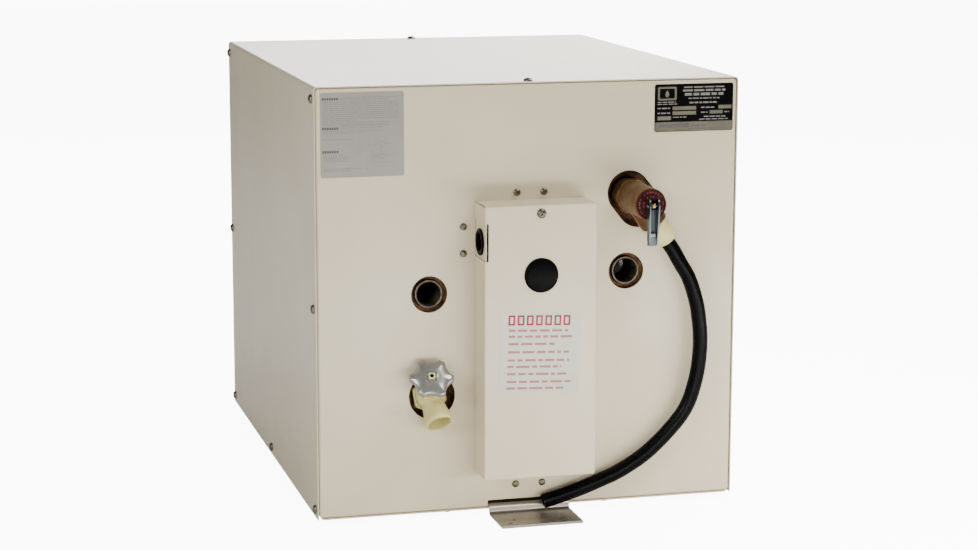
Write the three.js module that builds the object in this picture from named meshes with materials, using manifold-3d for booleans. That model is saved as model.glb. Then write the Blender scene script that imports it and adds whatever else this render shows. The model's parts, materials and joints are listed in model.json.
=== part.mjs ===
// Tank water heater: sheet metal casing around a foamed horizontal tank.
// Millimetres, +Z up, the front panel faces -Y.
// Modelling frame: x = 0 at mid width, y = 0 on the front panel, z = 0 under the casing.
import * as THREE from 'three';
import Module from 'manifold-3d';
import { mergeVertices } from 'three/addons/utils/BufferGeometryUtils.js';

const wasm = await Module();
wasm.setup();

// ---- driving dimensions ----
const WIDTH = 425;
const HEIGHT = 422;
const DEPTH = 519;
const SHEET = 1.2;
const BASE_SHEET = 1.5;
const BRACKET_SHEET = 2.7;
const GAP = 0.3;
const SIDE_GAP = 0.6;
const FLANGE = 22;
const BRACKET_W = 82;
const BRACKET_DROP = 6.2;
const BRACKET_REACH = 51.5;
const BRACKET_TAIL = 105;
const TANK_R = 175;
const TANK_WALL = 3;
const HEAD_RISE = 40;
const HEAD_GAP = 30;
const TANK_Z = HEIGHT / 2;
const COUPLING_R = 14.3;
const PORT_BORE_R = 10.5;
const PORT_HOLE_R = 18;
const RELIEF_COUPLING_R = 17;
const COVER_HALF_W = 56;
const COVER_Z0 = 39.5;
const COVER_Z1 = 308;
const COVER_DEPTH = 40;
const COVER_SHEET = 1;
const HOSE_R = 7.5;
const HOSE_BORE_R = 4.8;

// positions on the front panel, [x, z]
const HOT = [-101, 218.5];
const COLD = [98.4, 233];
const RELIEF = [102.5, 307.7];
const DRAIN = [-99.7, 117.7];
const DRAIN_HOLE = [-98.5, 117.7];
const ELEMENT = [0, 100];
const THERMO = [0, 240];
const COVER_SCREW = [0, 300];
const BUSHING_Y = -19.6;
const BUSHING_Z = 271.4;

// ---- shape helpers ----
const TAU = Math.PI * 2;
const toYZ = new THREE.Matrix4().makeBasis(
  new THREE.Vector3(0, 1, 0), new THREE.Vector3(0, 0, 1), new THREE.Vector3(1, 0, 0));

function solid(geometry) {
  let g = geometry.clone();
  g.deleteAttribute('normal');
  g.deleteAttribute('uv');
  g = mergeVertices(g, 1e-4);
  const p = g.attributes.position.array;
  const source = g.index.array;
  const tris = [];
  let volume = 0;
  for (let i = 0; i < source.length; i += 3) {
    const [a, b, c] = [source[i], source[i + 1], source[i + 2]];
    if (a === b || b === c || a === c) continue;
    tris.push(a, b, c);
    const A = new THREE.Vector3().fromArray(p, a * 3);
    const B = new THREE.Vector3().fromArray(p, b * 3);
    const C = new THREE.Vector3().fromArray(p, c * 3);
    volume += A.dot(B.cross(C));
  }
  if (volume < 0) {
    for (let i = 0; i < tris.length; i += 3) {
      [tris[i + 1], tris[i + 2]] = [tris[i + 2], tris[i + 1]];
    }
  }
  return new wasm.Manifold(new wasm.Mesh({
    numProp: 3,
    vertProperties: new Float32Array(p),
    triVerts: new Uint32Array(tris),
  }));
}

function geometryOf(body) {
  const mesh = body.getMesh();
  const count = mesh.vertProperties.length / mesh.numProp;
  const xyz = new Float32Array(count * 3);
  for (let i = 0; i < count; i++) {
    for (let k = 0; k < 3; k++) xyz[i * 3 + k] = mesh.vertProperties[i * mesh.numProp + k];
  }
  const g = new THREE.BufferGeometry();
  g.setAttribute('position', new THREE.BufferAttribute(xyz, 3));
  g.setIndex(new THREE.BufferAttribute(new Uint32Array(mesh.triVerts), 1));
  const flat = g.toNonIndexed();
  flat.computeVertexNormals();
  return flat;
}

function union(...bodies) {
  return bodies.reduce((sum, b) => sum.add(b));
}

function cut(body, ...tools) {
  return tools.reduce((rest, t) => rest.subtract(t), body);
}

function box(x0, x1, y0, y1, z0, z1) {
  const g = new THREE.BoxGeometry(x1 - x0, y1 - y0, z1 - z0);
  return solid(g.translate((x0 + x1) / 2, (y0 + y1) / 2, (z0 + z1) / 2));
}

// profile [[radius, y], ...] turned about the Y axis
function turned(profile, segments = 24) {
  return solid(new THREE.LatheGeometry(profile.map(([r, y]) => new THREE.Vector2(r, y)), segments));
}

// turned part moved to [x, z] on the panel
function turnedAt([x, z], profile, segments = 24) {
  return turned(profile, segments).translate([x, 0, z]);
}

function rod(radius, y0, y1, segments = 16) {
  return turned([[0, y0], [radius, y0], [radius, y1], [0, y1]], segments);
}

function rodAt([x, z], radius, y0, y1, segments = 16) {
  return rod(radius, y0, y1, segments).translate([x, 0, z]);
}

// turn a part built along +Y so that it points along dir, standing at origin
function aim(body, origin, dir) {
  const q = new THREE.Quaternion().setFromUnitVectors(
    new THREE.Vector3(0, 1, 0), new THREE.Vector3(...dir).normalize());
  const m = new THREE.Matrix4().compose(new THREE.Vector3(...origin), q, new THREE.Vector3(1, 1, 1));
  return body.transform(m.elements);
}

function polygon(points) {
  return new THREE.Shape(points.map(([a, b]) => new THREE.Vector2(a, b)));
}

function prism(shape, depth) {
  return new THREE.ExtrudeGeometry(shape, { depth, bevelEnabled: false, curveSegments: 12 });
}

// outline [[y, z], ...] drawn out along X
function alongX(points, x0, x1) {
  return solid(prism(polygon(points), x1 - x0).applyMatrix4(toYZ).translate(x0, 0, 0));
}

// outline [[x, z], ...] drawn out along Y
function alongY(points, y0, y1) {
  return solid(prism(polygon(points), y1 - y0).rotateX(Math.PI / 2).translate(0, y1, 0));
}

// outline [[x, y], ...] drawn out along Z
function alongZ(points, z0, z1) {
  return solid(prism(polygon(points), z1 - z0).translate(0, 0, z0));
}

// outline of bent sheet of thickness t along a centre line, inner bend radius r
function bent(path, t, r, steps = 3) {
  const left = [];
  const right = [];
  const n = path.length;
  for (let i = 0; i < n; i++) {
    const p = new THREE.Vector2(...path[i]);
    const before = i > 0 ? p.clone().sub(new THREE.Vector2(...path[i - 1])).normalize() : null;
    const after = i < n - 1 ? new THREE.Vector2(...path[i + 1]).sub(p).normalize() : null;
    if (!before || !after) {
      const d = before || after;
      const normal = new THREE.Vector2(-d.y, d.x);
      left.push(p.clone().addScaledVector(normal, t / 2));
      right.push(p.clone().addScaledVector(normal, -t / 2));
      continue;
    }
    const turn = Math.atan2(before.cross(after), before.dot(after));
    const side = Math.sign(turn);
    const mid = r + t / 2;
    const back = mid * Math.tan(Math.abs(turn) / 2);
    const normal = new THREE.Vector2(-before.y, before.x).multiplyScalar(side);
    const centre = p.clone().addScaledVector(before, -back).addScaledVector(normal, mid);
    for (let k = 0; k <= steps; k++) {
      const arm = normal.clone().negate().rotateAround(new THREE.Vector2(), turn * k / steps);
      left.push(centre.clone().addScaledVector(arm, mid - side * t / 2));
      right.push(centre.clone().addScaledVector(arm, mid + side * t / 2));
    }
  }
  return [...left, ...right.reverse()].map((v) => [v.x, v.y]);
}

function roundedRect(x0, x1, z0, z1, r, steps = 3) {
  const points = [];
  [[x1 - r, z1 - r], [x0 + r, z1 - r], [x0 + r, z0 + r], [x1 - r, z0 + r]].forEach(([x, z], corner) => {
    for (let i = 0; i <= steps; i++) {
      const a = Math.PI / 2 * (corner + i / steps);
      points.push([x + r * Math.cos(a), z + r * Math.sin(a)]);
    }
  });
  return points;
}

function ring(radius, sides, phase = 0) {
  const points = [];
  for (let i = 0; i < sides; i++) {
    const a = phase + TAU * i / sides;
    points.push([radius * Math.cos(a), radius * Math.sin(a)]);
  }
  return points;
}

// round section swept along a smooth line through the points
function swept(points, radius, sides, steps, boreRadius = 0) {
  const shape = polygon(ring(radius, sides));
  if (boreRadius > 0) {
    const hole = ring(boreRadius, sides).reverse();
    shape.holes.push(new THREE.Path(hole.map(([a, b]) => new THREE.Vector2(a, b))));
  }
  const line = new THREE.CatmullRomCurve3(points.map((p) => new THREE.Vector3(...p)));
  return solid(new THREE.ExtrudeGeometry(shape, { steps, extrudePath: line, bevelEnabled: false }));
}

// ---- collecting the pieces ----
const group = new THREE.Group();
group.name = 'tank_water_heater';

const COLOURS = {
  ivory: 0xd9d3c4, steel: 0xb4b5b3, stainless: 0xa9a6a0, foam: 0x6b4a2c, brass: 0x9a7a4c,
  bronze: 0x80623c, nylon: 0xd8cfae, knob: 0x9b9c99, black: 0x161616, rubber: 0x101010,
  red: 0x5e1c20, label: 0xb2b0ac, plate: 0x1b1b1b, nickel: 0xc9c8c4, copper: 0xb87446,
  white: 0xe4e1d8, green: 0x2f7a3c, button: 0xb5281e,
};

function add(name, body, colour, metalness = 0, roughness = 0.5) {
  const material = new THREE.MeshStandardMaterial({ color: COLOURS[colour], metalness, roughness });
  material.name = name;
  const mesh = new THREE.Mesh(geometryOf(body), material);
  mesh.name = name;
  group.add(mesh);
}

// ---- casing ----
const halfW = WIDTH / 2;
const SCREW_SHANK_R = 1.7;
const SCREW_HOLE_R = 2.2;
const SIDE_SCREWS_Z = [410, 207.5, 9];
const EDGE_SCREW_Y = 10;
const BOTTOM_SCREW_X = 81;

function sideHole(y, z) {
  return aim(rod(SCREW_HOLE_R, -20, 20, 8), [-halfW, y, z], [1, 0, 0])
    .add(aim(rod(SCREW_HOLE_R, -20, 20, 8), [halfW, y, z], [1, 0, 0]));
}

function edgeHoles() {
  const holes = [];
  for (const y of [EDGE_SCREW_Y, DEPTH - EDGE_SCREW_Y]) {
    for (const z of SIDE_SCREWS_Z) holes.push(sideHole(y, z));
    holes.push(aim(rod(SCREW_HOLE_R, -12, 12, 8), [0, y, HEIGHT], [0, 0, 1]));
    for (const x of [-BOTTOM_SCREW_X, BOTTOM_SCREW_X]) {
      holes.push(aim(rod(SCREW_HOLE_R, -9, 9, 8), [x, y, 0], [0, 0, 1]));
    }
  }
  holes.push(sideHole(DEPTH / 2, SIDE_SCREWS_Z[2]));
  return union(...holes);
}

const screwHoles = edgeHoles();
const wrapLine = [[-halfW + SHEET / 2, 0], [-halfW + SHEET / 2, HEIGHT - SHEET / 2],
  [halfW - SHEET / 2, HEIGHT - SHEET / 2], [halfW - SHEET / 2, 0]];
add('wrap_cover', cut(alongY(bent(wrapLine, SHEET, 2), 0, DEPTH), screwHoles), 'ivory', 0, 0.45);

const panelHalfW = halfW - SHEET - SIDE_GAP;
const panelTop = HEIGHT - SHEET - SIDE_GAP;
const panelBottom = BASE_SHEET + GAP;
const baseHalfW = panelHalfW - SHEET - GAP;
const baseInner = baseHalfW - BASE_SHEET;
const slotTop = panelBottom + SHEET + GAP + BRACKET_SHEET + 0.6;

// shallow pan with rounded front edges, open to the back
function pan() {
  const bend = 2;
  const w = panelHalfW - bend;
  const shape = polygon(roundedRect(-w, w, panelBottom + bend, panelTop - bend, 1.2));
  const g = new THREE.ExtrudeGeometry(shape, {
    depth: FLANGE + 10, bevelEnabled: true, bevelThickness: bend, bevelSize: bend, bevelSegments: 3,
  });
  const outer = solid(g.rotateX(Math.PI / 2).translate(0, FLANGE + 10 + bend, 0));
  const inner = panelHalfW - SHEET;
  return cut(outer,
    box(-inner, inner, SHEET, FLANGE + 30, panelBottom + SHEET, panelTop - SHEET),
    box(-WIDTH, WIDTH, FLANGE, FLANGE + 40, -10, HEIGHT + 10),
    box(-WIDTH, -baseInner + 1.3, SHEET, FLANGE + 10, -10, panelBottom + SHEET + GAP)
      .intersect(box(-inner, inner, 0, FLANGE + 20, -10, HEIGHT)),
    box(baseInner - 1.3, WIDTH, SHEET, FLANGE + 10, -10, panelBottom + SHEET + GAP)
      .intersect(box(-inner, inner, 0, FLANGE + 20, -10, HEIGHT)),
    box(-BRACKET_W / 2 - 1, BRACKET_W / 2 + 1, -1, SHEET + 0.1, panelBottom + 0.3, slotTop + 2));
}

const OBROUND = { a: [100.6, 310.7], b: [110.8, 298], r: 22 };

function reliefSlot(r, y0, y1) {
  const dx = OBROUND.b[0] - OBROUND.a[0];
  const dz = OBROUND.b[1] - OBROUND.a[1];
  const around = Math.atan2(dz, dx);
  const points = [];
  for (let i = 0; i <= 10; i++) {
    const t = around - Math.PI / 2 + Math.PI * i / 10;
    points.push([OBROUND.b[0] + r * Math.cos(t), OBROUND.b[1] + r * Math.sin(t)]);
  }
  for (let i = 0; i <= 10; i++) {
    const t = around + Math.PI / 2 + Math.PI * i / 10;
    points.push([OBROUND.a[0] + r * Math.cos(t), OBROUND.a[1] + r * Math.sin(t)]);
  }
  return alongY(points, y0, y1);
}

const PANEL_SCREWS = [[-13.6, 315], [13.6, 315], [-13.5, 23.7], [13.5, 23.7],
  [-67.1, 283.5], [-67.1, 257.2]];
const OPENING = { x0: -53, x1: 48, z0: 42.3, z1: 305.4 };
const PLATE_Z = [250, 297];
const plateX = -COVER_HALF_W + COVER_SHEET + GAP + SHEET / 2;
const DRAIN_HOLE_R = 23;

add('front_panel', cut(pan(), screwHoles,
  rodAt(HOT, PORT_HOLE_R, -1, 3, 28),
  rodAt(COLD, PORT_HOLE_R, -1, 3, 28),
  rodAt(DRAIN_HOLE, DRAIN_HOLE_R, -1, 3, 28),
  reliefSlot(OBROUND.r, -1, 3),
  box(OPENING.x0, OPENING.x1, -1, 3, OPENING.z0, OPENING.z1),
  box(plateX - SHEET / 2 - GAP, OPENING.x0 + 1, -1, 3, PLATE_Z[0] - GAP, PLATE_Z[1] + GAP),
  ...PANEL_SCREWS.map((p) => rodAt(p, 1.9, -1, 3, 10))), 'ivory', 0, 0.45);

add('rear_panel', cut(pan().rotate([0, 0, 180]).translate([0, DEPTH, 0]), screwHoles), 'ivory', 0, 0.45);

const baseTop = 24;
const baseLine = [[-baseHalfW + BASE_SHEET / 2, baseTop], [-baseHalfW + BASE_SHEET / 2, BASE_SHEET / 2],
  [baseHalfW - BASE_SHEET / 2, BASE_SHEET / 2], [baseHalfW - BASE_SHEET / 2, baseTop]];
const baseEnd = SHEET + GAP;
add('base_pan', cut(union(
  alongY(bent(baseLine, BASE_SHEET, 1), baseEnd, DEPTH - baseEnd),
  box(-baseHalfW + 3, baseHalfW - 3, 0.3, DEPTH - 0.3, 0, BASE_SHEET)), screwHoles), 'ivory', 0, 0.5);

// ---- mounting brackets ----
const bracketTop = panelBottom + SHEET + GAP + BRACKET_SHEET;
const footMid = -BRACKET_DROP + BRACKET_SHEET / 2;
const legY = -GAP - BRACKET_SHEET / 2;
const tailMid = bracketTop - BRACKET_SHEET / 2;
const FOOT_HOLES = [[-25, -32.5], [25, -32.5], [-30.5, -42.5], [30.5, -42.5]];

function bracket() {
  const line = [[-BRACKET_REACH, footMid], [legY, footMid], [legY, tailMid], [BRACKET_TAIL, tailMid]];
  const plate = alongX(bent(line, BRACKET_SHEET, 2, 4), -BRACKET_W / 2, BRACKET_W / 2);
  const holes = FOOT_HOLES.map(([x, y]) => aim(rod(2.4, -4, 4, 12), [x, y, footMid], [0, 0, 1]));
  return cut(plate, ...holes);
}

add('front_bracket', bracket(), 'stainless', 1, 0.35);
add('rear_bracket', bracket().rotate([0, 0, 180]).translate([0, DEPTH, 0]), 'stainless', 1, 0.35);

// ---- tank ----
const headEnd = HEAD_GAP + HEAD_RISE;

function headProfile(radius, rise, apexY, direction) {
  const points = [];
  for (const f of [0, 0.35, 0.62, 0.82, 0.95, 1]) {
    points.push([radius * f, apexY + direction * rise * (1 - Math.sqrt(1 - f * f))]);
  }
  return points;
}

function tankProfile(offset) {
  const front = headProfile(TANK_R + offset, HEAD_RISE, HEAD_GAP - offset, 1);
  const back = headProfile(TANK_R + offset, HEAD_RISE, DEPTH - HEAD_GAP + offset, -1).reverse();
  return [...front, ...back];
}

const TANK_SIDES = 24;
const axis = [0, TANK_Z];
const tankOuter = turnedAt(axis, tankProfile(0), TANK_SIDES);
const tankInner = turnedAt(axis, tankProfile(-TANK_WALL), TANK_SIDES);
const SPUD_R = 23;
const SPUD_BORE_R = 17;

// depth of the tank's front head at a distance from its axis
function headAt(fromAxis) {
  const f = Math.min(1, fromAxis / TANK_R);
  return HEAD_GAP + HEAD_RISE * (1 - Math.sqrt(1 - f * f));
}

const offAxis = ([x, z]) => Math.hypot(x, z - TANK_Z);
const spud = rodAt(ELEMENT, SPUD_R, 34, headAt(offAxis(ELEMENT) + SPUD_R) + 3.7, 20);
add('tank_shell', cut(union(tankOuter, spud), tankInner,
  rodAt(ELEMENT, SPUD_BORE_R, 30, 60, 20),
  rodAt(HOT, COUPLING_R + GAP, 20, 70, 20),
  rodAt(COLD, COUPLING_R + GAP, 20, 70, 20),
  rodAt(DRAIN, COUPLING_R + GAP, 20, 80, 20),
  rodAt(RELIEF, RELIEF_COUPLING_R + GAP, 20, 80, 20)), 'steel', 0.6, 0.5);

// pipe coupling welded through the head, ending a little way inside the tank
const COUPLING_INSIDE = 7.5;

function coupling(at, outer, bore, y0) {
  const y1 = headAt(offAxis(at) + outer) + COUPLING_INSIDE;
  return turnedAt(at, [[bore + 1.2, y0], [outer - 0.6, y0], [outer, y0 + 0.6], [outer, y1],
    [bore, y1], [bore, y0 + 1.2], [bore + 1.2, y0]], 20);
}

const COUPLING_FRONT = 2.5;
add('hot_coupling', coupling(HOT, COUPLING_R, PORT_BORE_R, COUPLING_FRONT), 'steel', 0.9, 0.35);
add('cold_coupling', coupling(COLD, COUPLING_R, PORT_BORE_R, COUPLING_FRONT), 'steel', 0.9, 0.35);
add('drain_coupling', coupling(DRAIN, COUPLING_R, PORT_BORE_R, 16), 'steel', 0.9, 0.35);
add('relief_coupling', coupling(RELIEF, RELIEF_COUPLING_R, 13.3, 16), 'steel', 0.9, 0.35);

const dipEnd = TANK_Z - TANK_R + 44;
const dipPath = [[COLD[0], 47, COLD[1]], [COLD[0], 75, COLD[1]], [90, 112, COLD[1] - 33],
  [70, 125, dipEnd + 60], [60, 126, dipEnd]];
const dipFlare = turnedAt(COLD, [[6.4, 40], [10.1, 40], [10.1, 43], [8, 47.5], [6.4, 47.5], [6.4, 40]], 12);
add('dip_tube', union(dipFlare, swept(dipPath, 8, 8, 9, 6.4)), 'white', 0, 0.6);

// ---- cradles between the brackets and the tank ----
const CRADLE_SHEET = 2.5;
const CRADLE_Y = 78;
const CRADLE_HALF_W = 95;
const cradleTop = TANK_Z - Math.sqrt((TANK_R + GAP) ** 2 - CRADLE_HALF_W ** 2);

function cradle() {
  const z0 = bracketTop + GAP;
  const plate = box(-CRADLE_HALF_W, CRADLE_HALF_W, CRADLE_Y, CRADLE_Y + CRADLE_SHEET, z0, cradleTop);
  const foot = box(-BRACKET_W / 2, BRACKET_W / 2, CRADLE_Y, CRADLE_Y + 22, z0, z0 + CRADLE_SHEET);
  return cut(union(plate, foot), turnedAt(axis, tankProfile(GAP), TANK_SIDES));
}

add('front_cradle', cradle(), 'steel', 0.6, 0.5);
add('rear_cradle', cradle().rotate([0, 0, 180]).translate([0, DEPTH, 0]), 'steel', 0.6, 0.5);

// ---- foam insulation, an upper and a lower half ----
const FOAM_SIDE = 204;
const FOAM_FRONT = 3;
const FOAM_POCKET = 13;
const FOAM_SPLIT = HOT[1] - 7.5;
const foamTools = union(
  turnedAt(axis, tankProfile(0.5), TANK_SIDES),
  rodAt(ELEMENT, SPUD_R + 1, 20, 90, 20),
  ...[HOT, COLD, DRAIN].map((p) => rodAt(p, COUPLING_R + 0.5, 0, 90, 20)),
  rodAt(RELIEF, RELIEF_COUPLING_R + 0.5, 0, 90, 20),
  rodAt(HOT, PORT_HOLE_R + 1.5, 0, 6, 20),
  rodAt(COLD, PORT_HOLE_R + 1.5, 0, 6, 20),
  rodAt(DRAIN_HOLE, DRAIN_HOLE_R + 1.5, 0, 15, 20),
  reliefSlot(OBROUND.r + 1.5, 0, 15),
  box(-76, 76, 0, FOAM_POCKET, 0, HEIGHT),
  box(-86, 86, 0, FOAM_POCKET, 0, 12),
  box(-48, 48, 0, 60, 62, 288),
  box(-BRACKET_W / 2 - 0.5, BRACKET_W / 2 + 0.5, 0, BRACKET_TAIL + 0.5, 0, bracketTop + 0.3),
  box(-CRADLE_HALF_W - 0.5, CRADLE_HALF_W + 0.5, CRADLE_Y - 0.5, CRADLE_Y + 3.1, 0, cradleTop + 0.5),
  box(-BRACKET_W / 2 - 0.5, BRACKET_W / 2 + 0.5, CRADLE_Y - 0.5, CRADLE_Y + 22.5, 0, 10),
  box(-BRACKET_W / 2 - 0.5, BRACKET_W / 2 + 0.5, DEPTH - BRACKET_TAIL - 0.5, DEPTH, 0, bracketTop + 0.3),
  box(-CRADLE_HALF_W - 0.5, CRADLE_HALF_W + 0.5, DEPTH - CRADLE_Y - 3.1, DEPTH - CRADLE_Y + 0.5,
    0, cradleTop + 0.5),
  box(-BRACKET_W / 2 - 0.5, BRACKET_W / 2 + 0.5, DEPTH - CRADLE_Y - 22.5, DEPTH - CRADLE_Y, 0, 10));

function foamHalf(z0, z1) {
  return cut(box(-FOAM_SIDE, FOAM_SIDE, FOAM_FRONT, DEPTH - FOAM_POCKET, z0, z1), foamTools);
}

add('foam_upper', foamHalf(FOAM_SPLIT + 0.2, panelTop - SHEET - 0.8), 'foam', 0, 0.95);
add('foam_lower', foamHalf(panelBottom + SHEET + 0.6, FOAM_SPLIT - 0.2), 'foam', 0, 0.95);

// ---- relief valve ----
const OUTLET_Y = -20;
const OUTLET_ANGLE = 54.3 * Math.PI / 180;
const outletDir = [Math.cos(OUTLET_ANGLE), 0, -Math.sin(OUTLET_ANGLE)];
const outletOrigin = [RELIEF[0], OUTLET_Y, RELIEF[1]];
const CAP_Y = -61;
const DISC_Y = -63.2;
const PIN_Y = -69.2;
const CHAMBER_R = 11.5;
const SEAT_Y = 8;

const BOSS_END = 30.5;
const WRENCH_R = 19;
const valveShell = turnedAt(RELIEF, [[0, CAP_Y], [14.8, CAP_Y], [15.7, CAP_Y + 1], [15.7, CAP_Y + 4],
  [15.2, CAP_Y + 5], [15.8, -42], [16, -6], [16, 12], [13, 13], [13, 46], [12, 47], [0, 47]], 24);
const valveHex = alongY(ring(WRENCH_R, 6), -9, 6).intersect(rod(WRENCH_R - 1.4, -9, 6, 24))
  .translate([RELIEF[0], 0, RELIEF[1]]);
const valveOutlet = aim(turned([[0, 0], [14, 0], [14, BOSS_END - 1], [13.2, BOSS_END], [0, BOSS_END]], 20),
  outletOrigin, outletDir);
add('relief_valve_body', cut(union(valveShell, valveHex, valveOutlet),
  rodAt(RELIEF, CHAMBER_R, CAP_Y + 5, SEAT_Y, 20),
  rodAt(RELIEF, 8, SEAT_Y - 1, 60, 16),
  rodAt(RELIEF, 3, CAP_Y - 5, CAP_Y + 10, 12),
  aim(rod(9.4, 6, 40, 16), outletOrigin, outletDir)), 'bronze', 0.9, 0.45);

add('relief_disc_plate', turnedAt(RELIEF, [[3.6, CAP_Y - GAP], [3.6, DISC_Y], [5.6, DISC_Y],
  [5.6, DISC_Y + 0.5], [13, DISC_Y + 0.5], [13, DISC_Y], [14.5, DISC_Y],
  [15, DISC_Y + 0.4], [15, CAP_Y - GAP], [3.6, CAP_Y - GAP]], 24), 'red', 0.1, 0.4);

const PIN_HOLE_R = 1.9;
const pinHole = aim(rod(PIN_HOLE_R, -12, 12, 10), [RELIEF[0], PIN_Y, RELIEF[1]], [1, 0, 0]);
add('relief_stem', cut(turnedAt(RELIEF, [[0, PIN_Y - 3.8], [2.2, PIN_Y - 3.8], [3.2, PIN_Y - 3],
  [3.2, PIN_Y + 4], [2.4, PIN_Y + 4.6], [2.4, SEAT_Y - 4], [9.6, SEAT_Y - 4], [9.6, SEAT_Y - 0.3],
  [0, SEAT_Y - 0.3]], 12), pinHole), 'brass', 0.9, 0.35);

const SPRING_FREE = 3.8;
const springStart = SEAT_Y - 4 - SPRING_FREE;
const springEnd = CAP_Y + 5 + 1.2;
const springPoints = [];
for (let i = 0; i <= 54; i++) {
  const a = TAU * i / 9;
  const y = springStart + (springEnd - springStart) * i / 54;
  springPoints.push([RELIEF[0] + 6.6 * Math.cos(a), y, RELIEF[1] + 6.6 * Math.sin(a)]);
}
add('relief_spring', swept(springPoints, 0.9, 5, 54), 'nickel', 0.9, 0.4);

add('relief_probe', union(rodAt(RELIEF, 3.5, 20, 150, 10),
  box(RELIEF[0] - 7.4, RELIEF[0] + 7.4, 40, 45, RELIEF[1] - 2, RELIEF[1] + 2)), 'copper', 0.9, 0.4);

const LEVER_HALF_W = 5;
const LEVER_SHEET = 1.2;
const LEVER_LEN = 39;
const LEVER_BACK = 5;
const LEVER_FRONT = 4.4;
const leverSide = [];
for (let i = 0; i <= 8; i++) {
  const a = Math.PI * i / 8;
  leverSide.push([PIN_Y + 5 * Math.cos(a) - 0.1, RELIEF[1] + 7 * Math.sin(a)]);
}
leverSide.push([PIN_Y - LEVER_FRONT, RELIEF[1] - 12], [PIN_Y - 2, RELIEF[1] - LEVER_LEN],
  [PIN_Y + LEVER_BACK, RELIEF[1] - LEVER_LEN], [PIN_Y + LEVER_BACK, RELIEF[1] - 3]);
const leverBlock = alongX(leverSide, RELIEF[0] - LEVER_HALF_W, RELIEF[0] + LEVER_HALF_W);
const leverInner = LEVER_HALF_W - LEVER_SHEET;
add('relief_lever', cut(leverBlock,
  box(RELIEF[0] - leverInner, RELIEF[0] + leverInner, PIN_Y - 20, PIN_Y + LEVER_BACK - LEVER_SHEET,
    RELIEF[1] - LEVER_LEN - 5, RELIEF[1] + 20),
  box(RELIEF[0] - leverInner, RELIEF[0] + leverInner, PIN_Y - 20, PIN_Y + LEVER_BACK + 5,
    RELIEF[1] - 4.6, RELIEF[1] + 20),
  pinHole), 'steel', 0.9, 0.4);
add('lever_pin', aim(turned([[0, -6.6], [1.5, -6.6], [1.5, 6.6], [0, 6.6]], 10),
  [RELIEF[0], PIN_Y, RELIEF[1]], [1, 0, 0]), 'brass', 0.9, 0.35);

const ADAPTER_END = 54;
const BARB_END = 63;
add('hose_adapter', aim(turned([[3, 16], [9, 16], [9, BOSS_END + GAP], [9.8, BOSS_END + GAP], [11.4, 34.5],
  [12.7, 39.5], [12.8, 45], [11.6, 49.5], [9.4, 52.6], [7.8, ADAPTER_END], [4.1, ADAPTER_END],
  [4.1, BARB_END], [3, BARB_END], [3, 16]], 16),
outletOrigin, outletDir), 'nylon', 0, 0.5);

const along = (d) => outletOrigin.map((v, i) => v + outletDir[i] * d);
const hosePath = [along(ADAPTER_END + GAP), along(BARB_END + 1), [147.3, -20, 242.9], [157.2, -19.2, 226.5],
  [164.2, -18.6, 207], [168.2, -18, 190], [171, -17.4, 161], [168.2, -16.8, 128.6], [158.3, -16, 96.4],
  [140.6, -15, 72.7], [116.2, -14, 49.9], [90.7, -13.2, 34], [72, -12.6, 26.1], [50, -12, 18],
  [28, -11.7, 11.4], [11.4, -11.5, 7.3]];
add('discharge_hose', swept(hosePath, HOSE_R, 10, 18, HOSE_BORE_R), 'rubber', 0, 0.3);

// ---- drain valve, built about its own axis then turned and placed ----
const DRAIN_TURN = -9.7;
const DRAIN_KNOB_ANGLE = 42 * Math.PI / 180;
const stemOrigin = [0, 5.5, 0];
const stemDir = [0, -Math.cos(DRAIN_KNOB_ANGLE), Math.sin(DRAIN_KNOB_ANGLE)];
const spoutOrigin = [0, 1.2, -3.2];
const spoutDir = [0, -0.72, -0.694];
const onStem = (d) => stemOrigin.map((v, i) => v + stemDir[i] * d);
const placeDrain = (body) => body.rotate([0, DRAIN_TURN, 0]).translate([DRAIN[0], 0, DRAIN[1]]);
const STEM_SPIN = -15;
const SHAFT_R = 4.6;
const SQUARE = 3.25;
const HEX_END = 17;
const SPOUT_LEN = 29.5;
const SPOUT_R = 14;
const SPOUT_BORE_R = 11;

const drainOuter = union(
  rod(9.9, 8, 42, 16),
  alongY(ring(18.4, 6, Math.PI / 6), 5, 11),
  turned([[0, -11.5], [7, -10], [12, -5.5], [14.5, 1], [14.5, 6], [0, 6]], 20),
  aim(alongY(ring(14, 6), 1, HEX_END), stemOrigin, stemDir),
  aim(turned([[0, 0], [12.6, 0], [13, 14], [SPOUT_R, SPOUT_LEN - 5], [SPOUT_R, SPOUT_LEN - 1],
    [SPOUT_R - 1, SPOUT_LEN], [0, SPOUT_LEN]], 20), spoutOrigin, spoutDir));
add('drain_valve_body', placeDrain(cut(drainOuter,
  rod(4, 5.5, 50, 12),
  aim(rod(4, 0, 8, 12), stemOrigin, stemDir),
  aim(rod(7.6, 6, 30, 16), stemOrigin, stemDir),
  aim(rod(4.6, 0, 24, 12), onStem(11), [0, -9, -19]),
  aim(rod(SPOUT_BORE_R, SPOUT_LEN - 13, 50, 20), spoutOrigin, spoutDir))), 'nylon', 0, 0.5);
const bonnetBore = SHAFT_R + 0.5;
add('drain_bonnet', placeDrain(aim(turned([[bonnetBore, 14.8], [7.2, 14.8], [7.2, HEX_END + GAP],
  [12.2, HEX_END + GAP], [12.2, 22.5], [8.4, 24], [8.4, 27], [bonnetBore, 27], [bonnetBore, 14.8]], 20),
stemOrigin, stemDir)), 'nylon', 0, 0.5);
add('drain_washer', placeDrain(aim(turned([[0, 6.4], [6.4, 6.4], [6.4, 8.8], [0, 8.8]], 14),
  stemOrigin, stemDir)), 'black', 0, 0.7);
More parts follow.
